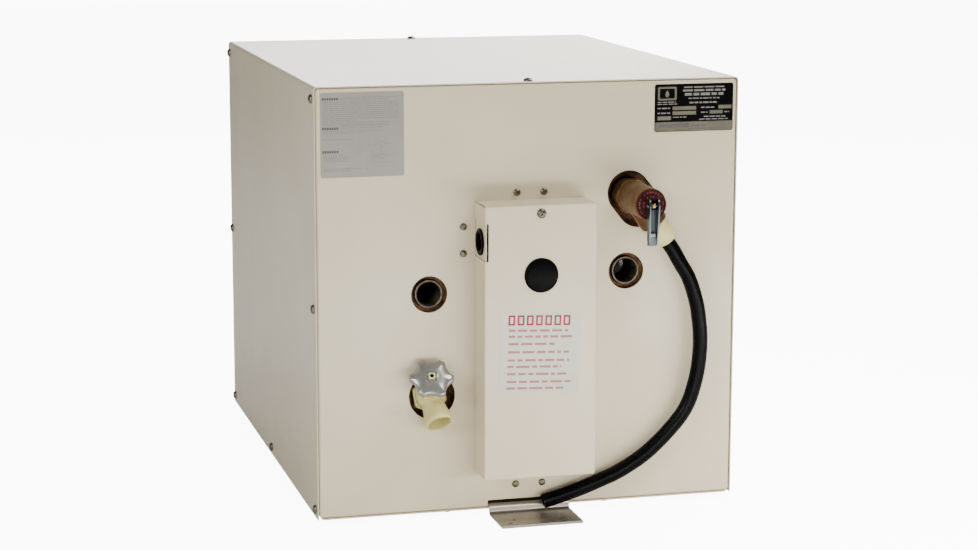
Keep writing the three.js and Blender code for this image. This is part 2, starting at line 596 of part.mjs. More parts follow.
add('drain_stem', placeDrain(aim(union(
  turned([[0, 9.1], [6.3, 9.1], [6.3, 10.2], [SHAFT_R, 10.4], [SHAFT_R, 30], [0, 30]], 16),
  box(-SQUARE, SQUARE, 29, 39.4, -SQUARE, SQUARE)).rotate([0, STEM_SPIN, 0]),
stemOrigin, stemDir)), 'nylon', 0, 0.5);

const KNOB_R = 21.6;
const SCALLOP_R = 16;
const SCALLOP_AT = 33.8;
// round disc with six scallops in its edge
function scalloped(count) {
  const points = [];
  for (let i = 0; i < count; i++) {
    const a = TAU * i / count;
    const b = (a % (TAU / 6)) - TAU / 12;
    const reach = SCALLOP_R ** 2 - (SCALLOP_AT * Math.sin(b)) ** 2;
    const edge = SCALLOP_AT * Math.cos(b) - Math.sqrt(Math.max(reach, 0));
    const r = reach > 0 ? Math.min(KNOB_R, edge) : KNOB_R;
    points.push([r * Math.cos(a), r * Math.sin(a)]);
  }
  return points;
}

add('drain_knob', placeDrain(aim(cut(
  alongY(scalloped(48), 31, 38.6),
  rod(16, 37.2, 45, 20),
  box(-SQUARE - GAP, SQUARE + GAP, 28, 45, -SQUARE - GAP, SQUARE + GAP),
  rod(15, 28, 33, 20)).rotate([0, STEM_SPIN, 0]), stemOrigin, stemDir)), 'knob', 0.3, 0.45);

// ---- heating element and thermostat behind the cover ----
const HEX_TURN = Math.PI / 6;

function elementTube() {
  const leg = (x) => aim(rod(4, 0, 322, 8), [x, 50, ELEMENT[1]], [0, 1, 0]);
  const bend = new THREE.CatmullRomCurve3([[-8, 371], [-6, 377.5], [0, 380.5], [6, 377.5], [8, 371]]
    .map(([x, y]) => new THREE.Vector3(x, y, ELEMENT[1])));
  const bow = { steps: 6, extrudePath: bend, bevelEnabled: false };
  return union(leg(-8), leg(8), solid(new THREE.ExtrudeGeometry(polygon(ring(4, 8)), bow)));
}

add('heating_element', union(
  alongY(ring(25, 6, HEX_TURN).map(([a, b]) => [a, b + ELEMENT[1]]), 20, 31),
  rodAt(ELEMENT, 16.4, 30, 52, 20),
  rodAt(ELEMENT, 13, 15, 20, 16),
  rodAt([-9, ELEMENT[1]], 2.6, 10, 16, 8),
  rodAt([9, ELEMENT[1]], 2.6, 10, 16, 8),
  elementTube()), 'copper', 0.8, 0.4);
add('element_gasket', turnedAt(ELEMENT, [[17.1, 31.3], [22.6, 31.3], [22.6, 33.7], [17.1, 33.7],
  [17.1, 31.3]], 20), 'rubber', 0, 0.8);

const BUTTON_R = 4.5;
const THERMO_FRONT = 13;
add('thermostat', cut(union(
  box(-21, 21, THERMO_FRONT, 29.6, THERMO[1] - 35, THERMO[1] + 33),
  rodAt(THERMO, 9, THERMO_FRONT - 3, THERMO_FRONT + 1, 16),
  ...[-13, 13].map((x) => rodAt([x, THERMO[1] - 26], 3, THERMO_FRONT - 2, THERMO_FRONT + 1, 8))),
rodAt(THERMO, BUTTON_R + 0.4, 0, THERMO_FRONT + 5, 12)), 'black', 0, 0.4);
add('reset_button', rodAt(THERMO, BUTTON_R, THERMO_FRONT - 5.4, THERMO_FRONT + 3, 12),
  'button', 0, 0.4);
const CLIP_X = 24;
const CLIP_Z = [THERMO[1] + 14, THERMO[1] + 26];
const clipNear = Math.min(Math.max(TANK_Z, CLIP_Z[0]), CLIP_Z[1]);
const clipFoot = headAt(offAxis([CLIP_X, clipNear])) - GAP - 0.5;
const clipLine = [[-44, clipFoot], [-CLIP_X, clipFoot], [-CLIP_X, THERMO_FRONT - 1],
  [CLIP_X, THERMO_FRONT - 1], [CLIP_X, clipFoot], [44, clipFoot]];
add('thermostat_clip', alongZ(bent(clipLine, 1, 1.2), ...CLIP_Z), 'nickel', 0.8, 0.4);

const TERMINAL_Y = THERMO_FRONT - 4.4;
const WIRES = [['wire_line', -13, -22, 'rubber'], ['wire_neutral', 13, 22, 'white']];
for (const [name, x, mid, colour] of WIRES) {
  const end = Math.sign(x) * 9;
  const run = [[x, TERMINAL_Y, THERMO[1] - 26], [x, TERMINAL_Y - 5, THERMO[1] - 38],
    [mid, TERMINAL_Y - 6, 160], [end, 2, ELEMENT[1] + 14], [end, 7.6, ELEMENT[1]]];
  add(name, swept(run, 1.8, 8, 10), colour, 0, 0.5);
}

// ---- junction cover and what it holds ----
const coverBack = -GAP;
const coverShape = polygon([[-COVER_HALF_W + 1, COVER_Z0 + 1], [COVER_HALF_W - 1, COVER_Z0 + 1],
  [COVER_HALF_W - 1, COVER_Z1 - 1], [-COVER_HALF_W + 1, COVER_Z1 - 1]]);
const coverBlank = solid(new THREE.ExtrudeGeometry(coverShape, {
  depth: COVER_DEPTH + 10, bevelEnabled: true, bevelThickness: 1, bevelSize: 1, bevelSegments: 2,
}).rotateX(Math.PI / 2).translate(0, 11, 0));
const WINDOW = { z0: 255, z1: 291.5 };
const PLUG_HOLE_R = 13;
add('junction_cover', cut(coverBlank,
  box(-WIDTH, WIDTH, coverBack, 40, 0, HEIGHT),
  box(-COVER_HALF_W + COVER_SHEET, COVER_HALF_W - COVER_SHEET, -COVER_DEPTH + COVER_SHEET, 50,
    COVER_Z0 + COVER_SHEET, COVER_Z1 - COVER_SHEET),
  box(-COVER_HALF_W - 5, -COVER_HALF_W + 3, -COVER_DEPTH - 5, 5, WINDOW.z0, WINDOW.z1),
  rodAt(THERMO, PLUG_HOLE_R, -50, -30, 20),
  rodAt(COVER_SCREW, 2.3, -50, -30, 10)), 'ivory', 0, 0.45);

const coverFace = -COVER_DEPTH - GAP;
add('cover_label', alongY([[-40.5, -40], [40.5, -40], [40.5, 40], [-40.5, 40]], coverFace - 0.3, coverFace)
  .rotate([0, 2.4, 0]).translate([-1, 0, 164]), 'label', 0, 0.6);
add('hole_plug', turnedAt(THERMO, [[0, coverFace - 3], [11, coverFace - 2.8], [15.6, coverFace - 1.8],
  [17, coverFace], [12.6, coverFace], [12.3, coverFace + 7], [10.8, coverFace + 7],
  [10.8, coverFace + 1.5], [0, coverFace + 1.5]], 20), 'black', 0, 0.4);

function panHead(radius, height, shankR, length, sides = 10) {
  return turned([[0, -height], [radius * 0.6, -height * 0.9], [radius * 0.92, -height * 0.5], [radius, 0],
    [shankR, 0], [shankR, length], [0, length]], sides);
}

add('cover_screw', panHead(4.7, 3, 1.9, 10)
  .translate([COVER_SCREW[0], coverFace, COVER_SCREW[1]]), 'nickel', 1, 0.3);

const tabY = SHEET + GAP + SHEET / 2;
const armZ = OPENING.z1 - 1.4;
const armTip = -COVER_DEPTH + COVER_SHEET + 0.8 + SHEET / 2;
add('cover_bracket_top', cut(
  alongX(bent([[tabY, 322], [tabY, armZ], [armTip, armZ], [armTip, 290]], SHEET, 0.8), -25, 25),
  ...PANEL_SCREWS.slice(0, 2).map((p) => rodAt(p, 1.9, 0, 6, 10)),
  rodAt(COVER_SCREW, 2.3, -50, -30, 10)), 'steel', 0.8, 0.4);
const shelfZ = OPENING.z0 + 1.4;
add('cover_bracket_bottom', cut(
  alongX(bent([[tabY, 16.5], [tabY, shelfZ], [-30, shelfZ], [-30, 54]], SHEET, 0.8), -25, 25),
  ...PANEL_SCREWS.slice(2, 4).map((p) => rodAt(p, 1.9, 0, 6, 10)),
  aim(rod(1.9, -6, 6, 10), [16, -18, shelfZ], [0, 0, 1])), 'steel', 0.8, 0.4);
const plateReach = COVER_DEPTH - COVER_SHEET - 1;
const bushingHole = aim(rod(10.8, -8, 8, 20), [plateX, BUSHING_Y, BUSHING_Z], [1, 0, 0]);
add('cable_plate', cut(
  alongZ(bent([[-74, tabY], [plateX, tabY], [plateX, -plateReach]], SHEET, 0.8), ...PLATE_Z),
  ...PANEL_SCREWS.slice(4).map((p) => rodAt(p, 1.9, 0, 6, 10)),
  bushingHole), 'ivory', 0, 0.5);
add('cable_bushing', aim(turned([[8.6, -3], [12.2, -3], [13.2, -2.2], [13.2, -0.9], [10.4, -0.9], [10.4, 5],
  [9.8, 6], [8.6, 6], [8.6, -3]], 20), [plateX, BUSHING_Y, BUSHING_Z], [1, 0, 0]), 'black', 0, 0.4);
add('ground_screw', aim(panHead(4, 2.6, 1.5, 2.4),
  [16, -18, shelfZ + SHEET / 2 + GAP], [0, 0, -1]), 'green', 0.6, 0.4);

// ---- labels ----
function label(x0, x1, z0, z1) {
  return box(x0, x1, -GAP - 0.3, -GAP, z0, z1);
}
add('instruction_label', label(-206.3, -125.3, 335.4, 416.4), 'label', 0, 0.6);
add('rating_plate', label(125.7, 207, 369.5, 416.2), 'plate', 0, 0.4);

// ---- screws ----
const PANEL_SCREW_NAMES = ['top_left', 'top_right', 'bottom_left', 'bottom_right',
  'plate_upper', 'plate_lower'];
PANEL_SCREWS.forEach(([x, z], i) => {
  add(`panel_screw_${PANEL_SCREW_NAMES[i]}`, panHead(3.6, 2.3, 1.5, 7).translate([x, -GAP, z]),
    'nickel', 1, 0.3);
});
['top', 'middle', 'bottom'].forEach((level, i) => {
  for (const [side, sign] of [['left', -1], ['right', 1]]) {
    add(`casing_screw_${side}_${level}`, aim(panHead(4.6, 3, SCREW_SHANK_R, 7),
      [sign * (halfW + GAP), EDGE_SCREW_Y, SIDE_SCREWS_Z[i]], [-sign, 0, 0]), 'nickel', 1, 0.3);
  }
});

// ---- the origin goes to the middle of the footprint, on the surface it stands on ----
const bounds = new THREE.Box3();
for (const mesh of group.children) {
  if (mesh.name !== 'discharge_hose') bounds.expandByObject(mesh);
}
const middle = bounds.getCenter(new THREE.Vector3());
for (const mesh of group.children) {
  mesh.geometry.translate(-middle.x, -middle.y, -bounds.min.z);
}

export default group;
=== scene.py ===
import json
import math
import random

import bmesh
import bpy
from mathutils import Matrix, Quaternion, Vector

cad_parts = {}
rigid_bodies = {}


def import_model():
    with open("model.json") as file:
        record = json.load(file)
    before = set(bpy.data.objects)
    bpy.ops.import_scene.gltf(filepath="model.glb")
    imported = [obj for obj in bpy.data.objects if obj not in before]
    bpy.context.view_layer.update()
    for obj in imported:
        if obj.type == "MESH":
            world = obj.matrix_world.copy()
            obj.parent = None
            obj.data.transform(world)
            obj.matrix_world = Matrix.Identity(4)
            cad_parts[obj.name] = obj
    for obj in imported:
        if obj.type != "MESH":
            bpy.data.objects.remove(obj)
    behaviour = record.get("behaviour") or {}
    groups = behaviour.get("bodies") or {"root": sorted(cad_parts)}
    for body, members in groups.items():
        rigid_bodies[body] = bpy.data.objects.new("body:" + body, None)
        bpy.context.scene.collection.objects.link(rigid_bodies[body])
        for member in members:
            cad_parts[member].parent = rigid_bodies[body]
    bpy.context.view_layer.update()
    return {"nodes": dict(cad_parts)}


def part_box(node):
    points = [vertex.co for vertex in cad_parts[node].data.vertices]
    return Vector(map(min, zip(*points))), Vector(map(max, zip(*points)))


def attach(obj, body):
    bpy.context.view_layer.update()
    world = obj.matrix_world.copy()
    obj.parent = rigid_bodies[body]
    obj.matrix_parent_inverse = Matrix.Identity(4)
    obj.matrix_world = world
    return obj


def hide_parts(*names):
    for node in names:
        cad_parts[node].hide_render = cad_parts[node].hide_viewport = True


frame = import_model()

# Sizes in millimetres, from the casing's front face (y), its underside (z) and its middle (x).
WIDTH, HEIGHT, DEPTH = 425, 422, 519
SHEET = 1.2
ORIGIN_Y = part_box("front_panel")[0][1]
ORIGIN_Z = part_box("wrap_cover")[0][2]
HOT, COLD, RELIEF = (-101, 218.5), (98.4, 233), (102.5, 307.7)
DRAIN, DRAIN_HOLE, PLUG = (-99.7, 117.7), (-98.5, 117.7), (0, 240)
TAU = math.tau


def P(x, y, z):
    """Millimetres on the casing to metres in the model's frame."""
    return Vector((x / 1000, ORIGIN_Y + y / 1000, ORIGIN_Z + z / 1000))


def added(name, data):
    """A new object in the scene."""
    obj = bpy.data.objects.new(name, data)
    bpy.context.collection.objects.link(obj)
    return obj


def remove(obj):
    data = obj.data
    bpy.data.objects.remove(obj)
    bpy.data.meshes.remove(data)


# ---- camera ----
CAMERA_AT = (-628.38, -2204.77, 655.32)
camera = added("camera", bpy.data.cameras.new("camera"))
camera.data.lens = 87.95
camera.data.sensor_width = 36
camera.data.clip_end = 50
right = Vector((0.96642, -0.25695, 0.00204))
up = Vector((0.04462, 0.17562, 0.98345))
back = right.cross(up)
facing = Matrix((right, up, back)).transposed().to_4x4()
camera.matrix_world = Matrix.Translation(P(*CAMERA_AT)) @ facing
bpy.context.scene.camera = camera


# ---- mesh tools ----
def mesh_object(name, verts, faces):
    mesh = bpy.data.meshes.new(name)
    mesh.from_pydata([tuple(v) for v in verts], [], faces)
    bm = bmesh.new()
    bm.from_mesh(mesh)
    bmesh.ops.remove_doubles(bm, verts=bm.verts, dist=1e-7)
    bmesh.ops.recalc_face_normals(bm, faces=bm.faces)
    bm.to_mesh(mesh)
    bm.free()
    return added(name, mesh)


def axes_for(direction):
    d = Vector(direction).normalized()
    u = d.orthogonal().normalized()
    return d, u, d.cross(u)


def rod(radius, low, high):
    """Profile of a plain rod, for the lathe."""
    return [(0, low), (radius, low), (radius, high), (0, high)]


def band(low, high):
    """Faces between two rings of vertex numbers."""
    n = len(low)
    return [[low[k], low[(k + 1) % n], high[(k + 1) % n], high[k]] for k in range(n)]


def slab(name, verts):
    """Solid between two equal rings of points, given one after the other."""
    n = len(verts) // 2
    low, high = list(range(n)), list(range(n, 2 * n))
    return mesh_object(name, verts, [low, high] + band(low, high))


def lathe(name, profile, origin=(0, 0, 0), direction=(0, 1, 0), seg=64, closed=False):
    """Turned solid: (radius, distance along the direction) in mm, from axis to axis or round a loop."""
    d, u, v = axes_for(direction)
    o = P(*origin)
    verts, rows, faces = [], [], []
    for r, t in profile:
        base = o + d * (t / 1000)
        if r < 1e-6:
            rows.append([len(verts)] * seg)
            verts.append(base)
            continue
        rows.append(list(range(len(verts), len(verts) + seg)))
        for k in range(seg):
            a = TAU * k / seg
            verts.append(base + (u * math.cos(a) + v * math.sin(a)) * (r / 1000))
    pairs = list(zip(rows, rows[1:]))
    if closed:
        pairs.append((rows[-1], rows[0]))
    for low, high in pairs:
        for k in range(seg):
            n = (k + 1) % seg
            ring = [low[k], low[n], high[n], high[k]]
            face = [i for j, i in enumerate(ring) if i != ring[j - 1]]
            if len(set(face)) > 2:
                faces.append(face)
    return mesh_object(name, verts, faces)


PLANES = {
    "XZ": lambda a, b, c: P(a, c, b),
    "YZ": lambda a, b, c: P(c, a, b),
    "XY": lambda a, b, c: P(a, b, c),
}


def prism(name, outline, plane, low, high):
    """A flat outline in mm in one plane, given its thickness from low to high across that plane."""
    place = PLANES[plane]
    return slab(name, [place(a, b, c) for c in (low, high) for a, b in outline])


def rounded(x0, x1, z0, z1, r, steps=6):
    """Outline of a rectangle with round corners."""
    points = []
    centres = [(x1 - r, z1 - r), (x0 + r, z1 - r), (x0 + r, z0 + r), (x1 - r, z0 + r)]
    for corner, (x, z) in enumerate(centres):
        for k in range(steps + 1):
            a = math.pi / 2 * (corner + k / steps)
            points.append((x + r * math.cos(a), z + r * math.sin(a)))
    return points


def circle(x, z, r, n=64, phase=0.0):
    angles = [phase + TAU * k / n for k in range(n)]
    return [(x + r * math.cos(a), z + r * math.sin(a)) for a in angles]


def bent(path, t, r, steps=8):
    """Outline of bent sheet of thickness t along a centre line, with inner bend radius r."""
    left, right_side = [], []
    points = [Vector(p) for p in path]
    for i, p in enumerate(points):
        before = (p - points[i - 1]).normalized() if i else None
        after = (points[i + 1] - p).normalized() if i < len(points) - 1 else None
        if before is None or after is None:
            d = before or after
            normal = Vector((-d.y, d.x))
            left.append(p + normal * t / 2)
            right_side.append(p - normal * t / 2)
            continue
        turn = math.atan2(before.x * after.y - before.y * after.x, before.dot(after))
        side = math.copysign(1, turn)
        mid = r + t / 2
        normal = Vector((-before.y, before.x)) * side
        centre = p - before * mid * math.tan(abs(turn) / 2) + normal * mid
        for k in range(steps + 1):
            a = turn * k / steps
            arm = Vector((-normal.x * math.cos(a) + normal.y * math.sin(a),
                          -normal.x * math.sin(a) - normal.y * math.cos(a)))
            left.append(centre + arm * (mid - side * t / 2))
            right_side.append(centre + arm * (mid + side * t / 2))
    return [tuple(v) for v in left + right_side[::-1]]


def box_mm(name, x0, x1, y0, y1, z0, z1):
    return prism(name, [(x0, z0), (x1, z0), (x1, z1), (x0, z1)], "XZ", y0, y1)


def smooth_path(points, steps, pieces=24):
    """Smooth (Catmull-Rom) line through points in metres, in even steps, and its length."""
    pts = [Vector(p) for p in points]
    dense = []
    for i in range(len(pts) - 1):
        p0 = pts[i - 1] if i else pts[0] * 2 - pts[1]
        p1, p2 = pts[i], pts[i + 1]
        p3 = pts[i + 2] if i + 2 < len(pts) else pts[-1] * 2 - pts[-2]
        for k in range(pieces):
            t = k / pieces
            dense.append(0.5 * (2 * p1 + (p2 - p0) * t + (2 * p0 - 5 * p1 + 4 * p2 - p3) * t * t
                                + (3 * p1 - p0 - 3 * p2 + p3) * t ** 3))
    dense.append(pts[-1])
    lengths = [0.0]
    for a, b in zip(dense, dense[1:]):
        lengths.append(lengths[-1] + (b - a).length)
    out, j = [], 0
    for k in range(steps + 1):
        want = lengths[-1] * k / steps
        while j < len(dense) - 2 and lengths[j + 1] < want:
            j += 1
        span = lengths[j + 1] - lengths[j] or 1
        out.append(dense[j].lerp(dense[j + 1], min(1, (want - lengths[j]) / span)))
    return out, lengths[-1]


def tube(name, line, radius, bore, seg):
    """Tube along a line of points in metres; radius and bore radius in mm."""
    verts, faces = [], []
    tangents = []
    for i in range(len(line)):
        tangents.append((line[min(i + 1, len(line) - 1)] - line[max(i - 1, 0)]).normalized())
    normal = tangents[0].orthogonal().normalized()
    rings = []
    for i, p in enumerate(line):
        if i:
            normal = tangents[i - 1].rotation_difference(tangents[i]) @ normal
        side = tangents[i].cross(normal)
        row = []
        for r in (radius, bore):
            start = len(verts)
            for k in range(seg):
                a = TAU * k / seg
                verts.append(p + (normal * math.cos(a) + side * math.sin(a)) * (r / 1000))
            row.append(list(range(start, start + seg)))
        rings.append(row)
    for low, high in zip(rings, rings[1:]):
        for a, b in zip(low, high):
            faces += band(a, b)
    faces += band(*rings[0]) + band(*rings[-1])
    return mesh_object(name, verts, faces)


def applied(obj):
    """Keeps what an object's modifiers make of its mesh."""
    deps = bpy.context.evaluated_depsgraph_get()
    mesh = bpy.data.meshes.new_from_object(obj.evaluated_get(deps))
    old = obj.data
    obj.modifiers.clear()
    obj.data = mesh
    bpy.data.meshes.remove(old)
    return obj


def boolean(obj, tools, operation):
    """Applies each tool to the object in turn and deletes it."""
    for tool in tools:
        modifier = obj.modifiers.new("boolean", "BOOLEAN")
        modifier.operation = operation
        modifier.solver = "EXACT"
        modifier.object = tool
        bpy.context.view_layer.update()
        applied(obj)
        remove(tool)
    return obj


def cut(obj, *tools):
    return boolean(obj, tools, "DIFFERENCE")


def fuse(obj, *tools):
    return boolean(obj, tools, "UNION")


def join(name, objects):
    """Several closed solids kept as one piece."""
    bm = bmesh.new()
    for o in objects:
        bm.from_mesh(o.data)
    mesh = bpy.data.meshes.new(name)
    bm.to_mesh(mesh)
    bm.free()
    for o in objects:
        remove(o)
    return added(name, mesh)


def shade(obj, angle):
    """Smooth faces, with sharp edges where they meet at more than the angle in degrees."""
    bm = bmesh.new()
    bm.from_mesh(obj.data)
    bmesh.ops.dissolve_degenerate(bm, edges=bm.edges, dist=1e-7)
    for face in bm.faces:
        face.smooth = True
    limit = math.radians(angle)
    for edge in bm.edges:
        edge.smooth = len(edge.link_faces) == 2 and edge.calc_face_angle(0) < limit
    bm.to_mesh(obj.data)
    bm.free()


def finish(obj, body, material, *nodes, bevel=0.2, segments=2, angle=32, slot=None):
    """Shading, a small bevel in mm, material and body of a finished piece, and the nodes that it replaces."""
    shade(obj, angle)
    if bevel:
        modifier = obj.modifiers.new("edges", "BEVEL")
        modifier.width = bevel / 1000
        modifier.segments = segments
        modifier.limit_method = "ANGLE"
        modifier.angle_limit = math.radians(angle)
        modifier.use_clamp_overlap = True
        modifier.harden_normals = False
    normals = obj.modifiers.new("normals", "WEIGHTED_NORMAL")
    normals.keep_sharp = False
    normals.weight = 60
    obj.data.materials.clear()
    obj.data.materials.append(material)
    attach(obj, body)
    if nodes:
        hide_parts(*nodes)
    return obj


# ---- materials ----
def srgb(r, g, b):
    """Colour for a socket from its three display values, 0 to 255."""
    def one(c):
        c /= 255
        return c / 12.92 if c <= 0.04045 else ((c + 0.055) / 1.055) ** 2.4
    return (one(r), one(g), one(b), 1)


def material(name, dark, light, rough=(0.4, 0.5), metallic=0.0, grain=40.0, stretch=(1, 1, 1), bump=0.0,
             bump_grain=400.0, wave=0.0, wave_grain=6.0, contrast=0.5, **sockets):
    """Two tones mixed by noise, with noisy roughness, fine bump and an optional broad wave.

    The tones are display values, the bump and the wave are in mm, a grain is noise cells per metre."""
    m = bpy.data.materials.new(name)
    m.use_nodes = True
    nodes, links = m.node_tree.nodes, m.node_tree.links
    shader = nodes["Principled BSDF"]
    shader.inputs["Metallic"].default_value = metallic
    for key, value in sockets.items():
        shader.inputs[key.replace("_", " ")].default_value = value
    place = nodes.new("ShaderNodeTexCoord")
    spread = nodes.new("ShaderNodeMapping")
    spread.inputs["Scale"].default_value = stretch
    links.new(place.outputs["Object"], spread.inputs["Vector"])

    def noise(scale, detail=4.0):
        n = nodes.new("ShaderNodeTexNoise")
        n.inputs["Scale"].default_value = scale
        n.inputs["Detail"].default_value = detail
        links.new(spread.outputs["Vector"], n.inputs["Vector"])
        return n

    tone = noise(grain)
    ramp = nodes.new("ShaderNodeValToRGB")
    ramp.color_ramp.elements[0].position = 0.5 - contrast / 2
    ramp.color_ramp.elements[0].color = srgb(*dark)
    ramp.color_ramp.elements[1].position = 0.5 + contrast / 2
    ramp.color_ramp.elements[1].color = srgb(*light)
    links.new(tone.outputs["Fac"], ramp.inputs["Fac"])
    links.new(ramp.outputs["Color"], shader.inputs["Base Color"])
    shine = nodes.new("ShaderNodeMapRange")
    shine.inputs["To Min"].default_value = rough[0]
    shine.inputs["To Max"].default_value = rough[1]
    links.new(noise(grain * 3.1).outputs["Fac"], shine.inputs["Value"])
    links.new(shine.outputs["Result"], shader.inputs["Roughness"])
    normal = None
    for height, scale, detail in ((wave, wave_grain, 1.0), (bump, bump_grain, 3.0)):
        if not height:
            continue
        b = nodes.new("ShaderNodeBump")
        b.inputs["Strength"].default_value = 1.0
        b.inputs["Distance"].default_value = height / 1000
        links.new(noise(scale, detail).outputs["Fac"], b.inputs["Height"])
        if normal:
            links.new(normal, b.inputs["Normal"])
        normal = b.outputs["Normal"]
    if normal:
        links.new(normal, shader.inputs["Normal"])
    return m


IVORY = material(
    "ivory_enamel", (203, 190, 160), (210, 198, 170), (0.34, 0.44), grain=9, bump=0.03, bump_grain=350,
    wave=0.5, wave_grain=5, Coat_Weight=0.12, Coat_Roughness=0.25)
STEEL = material(
    "plain_steel", (120, 120, 118), (160, 160, 156), (0.35, 0.55), 1.0, grain=60, bump=0.03, bump_grain=900)
STAINLESS = material(
    "satin_stainless", (150, 144, 134), (176, 170, 160), (0.3, 0.42), 1.0, grain=25, stretch=(0.15, 6, 6),
    bump=0.012, bump_grain=500)
# Painted highlight: a lighter steel, used only on the pad near the lever's end, where its bent end catches
# the light.
LEVER_PAINTED_HIGHLIGHT = material(
    "lever_painted_highlight", (110, 112, 112), (158, 160, 158), (0.3, 0.5), 1.0, grain=180, bump=0.02,
    bump_grain=1200)
NICKEL = material(
    "nickel_screw", (96, 90, 78), (134, 127, 112), (0.24, 0.36), 1.0, grain=300, bump=0.01, bump_grain=1500)
FOAM = material(
    "brown_foam", (58, 36, 20), (112, 76, 44), (0.8, 0.95), grain=220, bump=0.5, bump_grain=420,
    contrast=0.4)
BRONZE = material(
    "cast_bronze", (78, 54, 31), (114, 84, 51), (0.38, 0.55), 0.75, grain=90, bump=0.06, bump_grain=900)
PORT_STEEL = material(
    "port_steel", (52, 48, 41), (88, 81, 70), (0.34, 0.48), 1.0, grain=160, bump=0.02, bump_grain=900)
LEVER_STEEL = material(
    "lever_steel", (62, 69, 74), (104, 112, 117), (0.3, 0.42), 1.0, grain=90, stretch=(4, 4, 0.4),
    bump=0.02, bump_grain=900)
BRASS = material(
    "turned_brass", (178, 140, 78), (212, 176, 108), (0.2, 0.32), 1.0, grain=300, bump=0.01,
    bump_grain=1400)
COPPER = material("copper_sheath", (150, 88, 58), (190, 120, 84), (0.3, 0.45), 1.0, grain=80, bump=0.02)
NYLON = material(
    "cream_nylon", (197, 186, 120), (212, 203, 142), (0.4, 0.5), grain=60, bump=0.02, bump_grain=700,
    Subsurface_Weight=0.25, Subsurface_Scale=0.004)
# Painted shade: a darker, more yellow copy of the cream nylon, put on the faces inside the drain spout's
# mouth.
NYLON_PAINTED_SHADE = material(
    "nylon_painted_shade", (186, 177, 112), (202, 194, 134), (0.4, 0.5), grain=60, bump=0.02, bump_grain=700,
    Subsurface_Weight=0.25, Subsurface_Scale=0.004)
KNOB = material(
    "silver_knob", (142, 140, 135), (158, 156, 151), (0.26, 0.34), 0.75, grain=500, bump=0.015,
    bump_grain=1300)
BLACK = material(
    "black_plastic", (3, 3, 3), (7, 7, 7), (0.3, 0.44), grain=120, bump=0.03, bump_grain=900,
    Specular_IOR_Level=0.04)
HOSE = material(
    "hose_rubber", (2, 2, 2), (5, 5, 6), (0.22, 0.36), grain=70, bump=0.03, bump_grain=500,
    Specular_IOR_Level=0.06)
RUBBER = material("dull_rubber", (18, 18, 18), (32, 31, 30), (0.6, 0.75), grain=150, bump=0.05)
MAROON = material(
    "maroon_plate", (38, 8, 8), (62, 15, 14), (0.4, 0.55), grain=250, bump=0.02, bump_grain=900,
    Specular_IOR_Level=0.1)
MAROON_MARK = material(
    "maroon_marks", (84, 48, 46), (116, 76, 70), (0.45, 0.6), grain=300, bump=0.01, Specular_IOR_Level=0.1)
RED = material("red_button", (160, 26, 20), (180, 36, 28), (0.3, 0.4), grain=300, bump=0.01)
WHITE = material("white_plastic", (206, 202, 190), (220, 217, 206), (0.4, 0.5), grain=100, bump=0.01)
GREEN = material("green_screw", (34, 96, 44), (48, 118, 60), (0.3, 0.42), 0.4, grain=300, bump=0.01)
LABEL = material(
    "label_film", (140, 136, 127), (149, 145, 136), (0.3, 0.42), grain=30, wave=0.05, wave_grain=60)
CLEAR_LABEL = material(
    "clear_label_film", (190, 186, 172), (198, 194, 181), (0.28, 0.4), grain=30, wave=0.05, wave_grain=60)
PLATE = material(
    "plate_black", (3, 3, 3), (8, 8, 8), (0.3, 0.42), grain=60, bump=0.01, Specular_IOR_Level=0.05)
FOIL = material(
    "plate_foil", (92, 89, 75), (106, 103, 88), (0.35, 0.5), 0.1, grain=60, bump=0.01,
    Specular_IOR_Level=0.25)
INK = material("grey_ink", (118, 116, 112), (138, 136, 132), (0.5, 0.6), grain=900)
DARK_INK = material("dark_ink", (64, 62, 60), (84, 82, 80), (0.5, 0.6), grain=900)
RED_INK = material("red_ink", (120, 12, 16), (136, 20, 22), (0.45, 0.55), grain=900)
PALE_RED_INK = material("pale_red_ink", (150, 92, 86), (168, 112, 104), (0.45, 0.55), grain=900)
PLATE_INK = material("plate_grey_ink", (96, 95, 90), (128, 126, 118), (0.45, 0.55), grain=900)

CAD_FINISH = {
    STEEL: ["tank_shell", "front_cradle", "rear_cradle", "cover_bracket_top", "cover_bracket_bottom"],
    FOAM: ["foam_upper", "foam_lower"],
    PORT_STEEL: ["drain_coupling", "relief_coupling"],
    WHITE: ["dip_tube", "wire_neutral"],
    NICKEL: ["relief_spring", "thermostat_clip"],
    COPPER: ["relief_probe", "heating_element"],
    RUBBER: ["element_gasket", "drain_washer", "wire_line"],
    BLACK: ["thermostat"],
    RED: ["reset_button"],
    IVORY: ["base_pan"],
}
for finish_material, names in CAD_FINISH.items():
    for node in names:
        mesh = frame["nodes"][node].data
        mesh.materials.clear()
        mesh.materials.append(finish_material)


# ---- discharge hose ----
HOSE_R, HOSE_BORE_R = 7.4, 4.9
OUTLET_ANGLE = math.radians(54.3)
outlet_dir = Vector((math.cos(OUTLET_ANGLE), 0, -math.sin(OUTLET_ANGLE)))
outlet = Vector((RELIEF[0], -20, RELIEF[1]))
hose_points = [outlet + outlet_dir * 54.3, outlet + outlet_dir * 64] + [Vector(p) for p in (
    (147.3, -20, 242.9), (157.2, -19.2, 226.5), (164.2, -18.6, 207), (168.2, -18, 190), (171, -17.4, 161),
    (168.2, -16.8, 128.6), (158.3, -16, 96.4), (140.6, -15, 72.7), (116.2, -14, 49.9), (90.7, -13.2, 34),
    (72, -12.6, 26.1), (50, -12, 18), (28, -11.7, 11.4), (11.4, -11.5, 7.3))]
hose_line, hose_length = smooth_path([P(*p) for p in hose_points], 120)
hose = tube("hose", hose_line, HOSE_R, HOSE_BORE_R, 32)
finish(hose, "heater", HOSE, "discharge_hose", bevel=0.3, slot="hose_rubber")


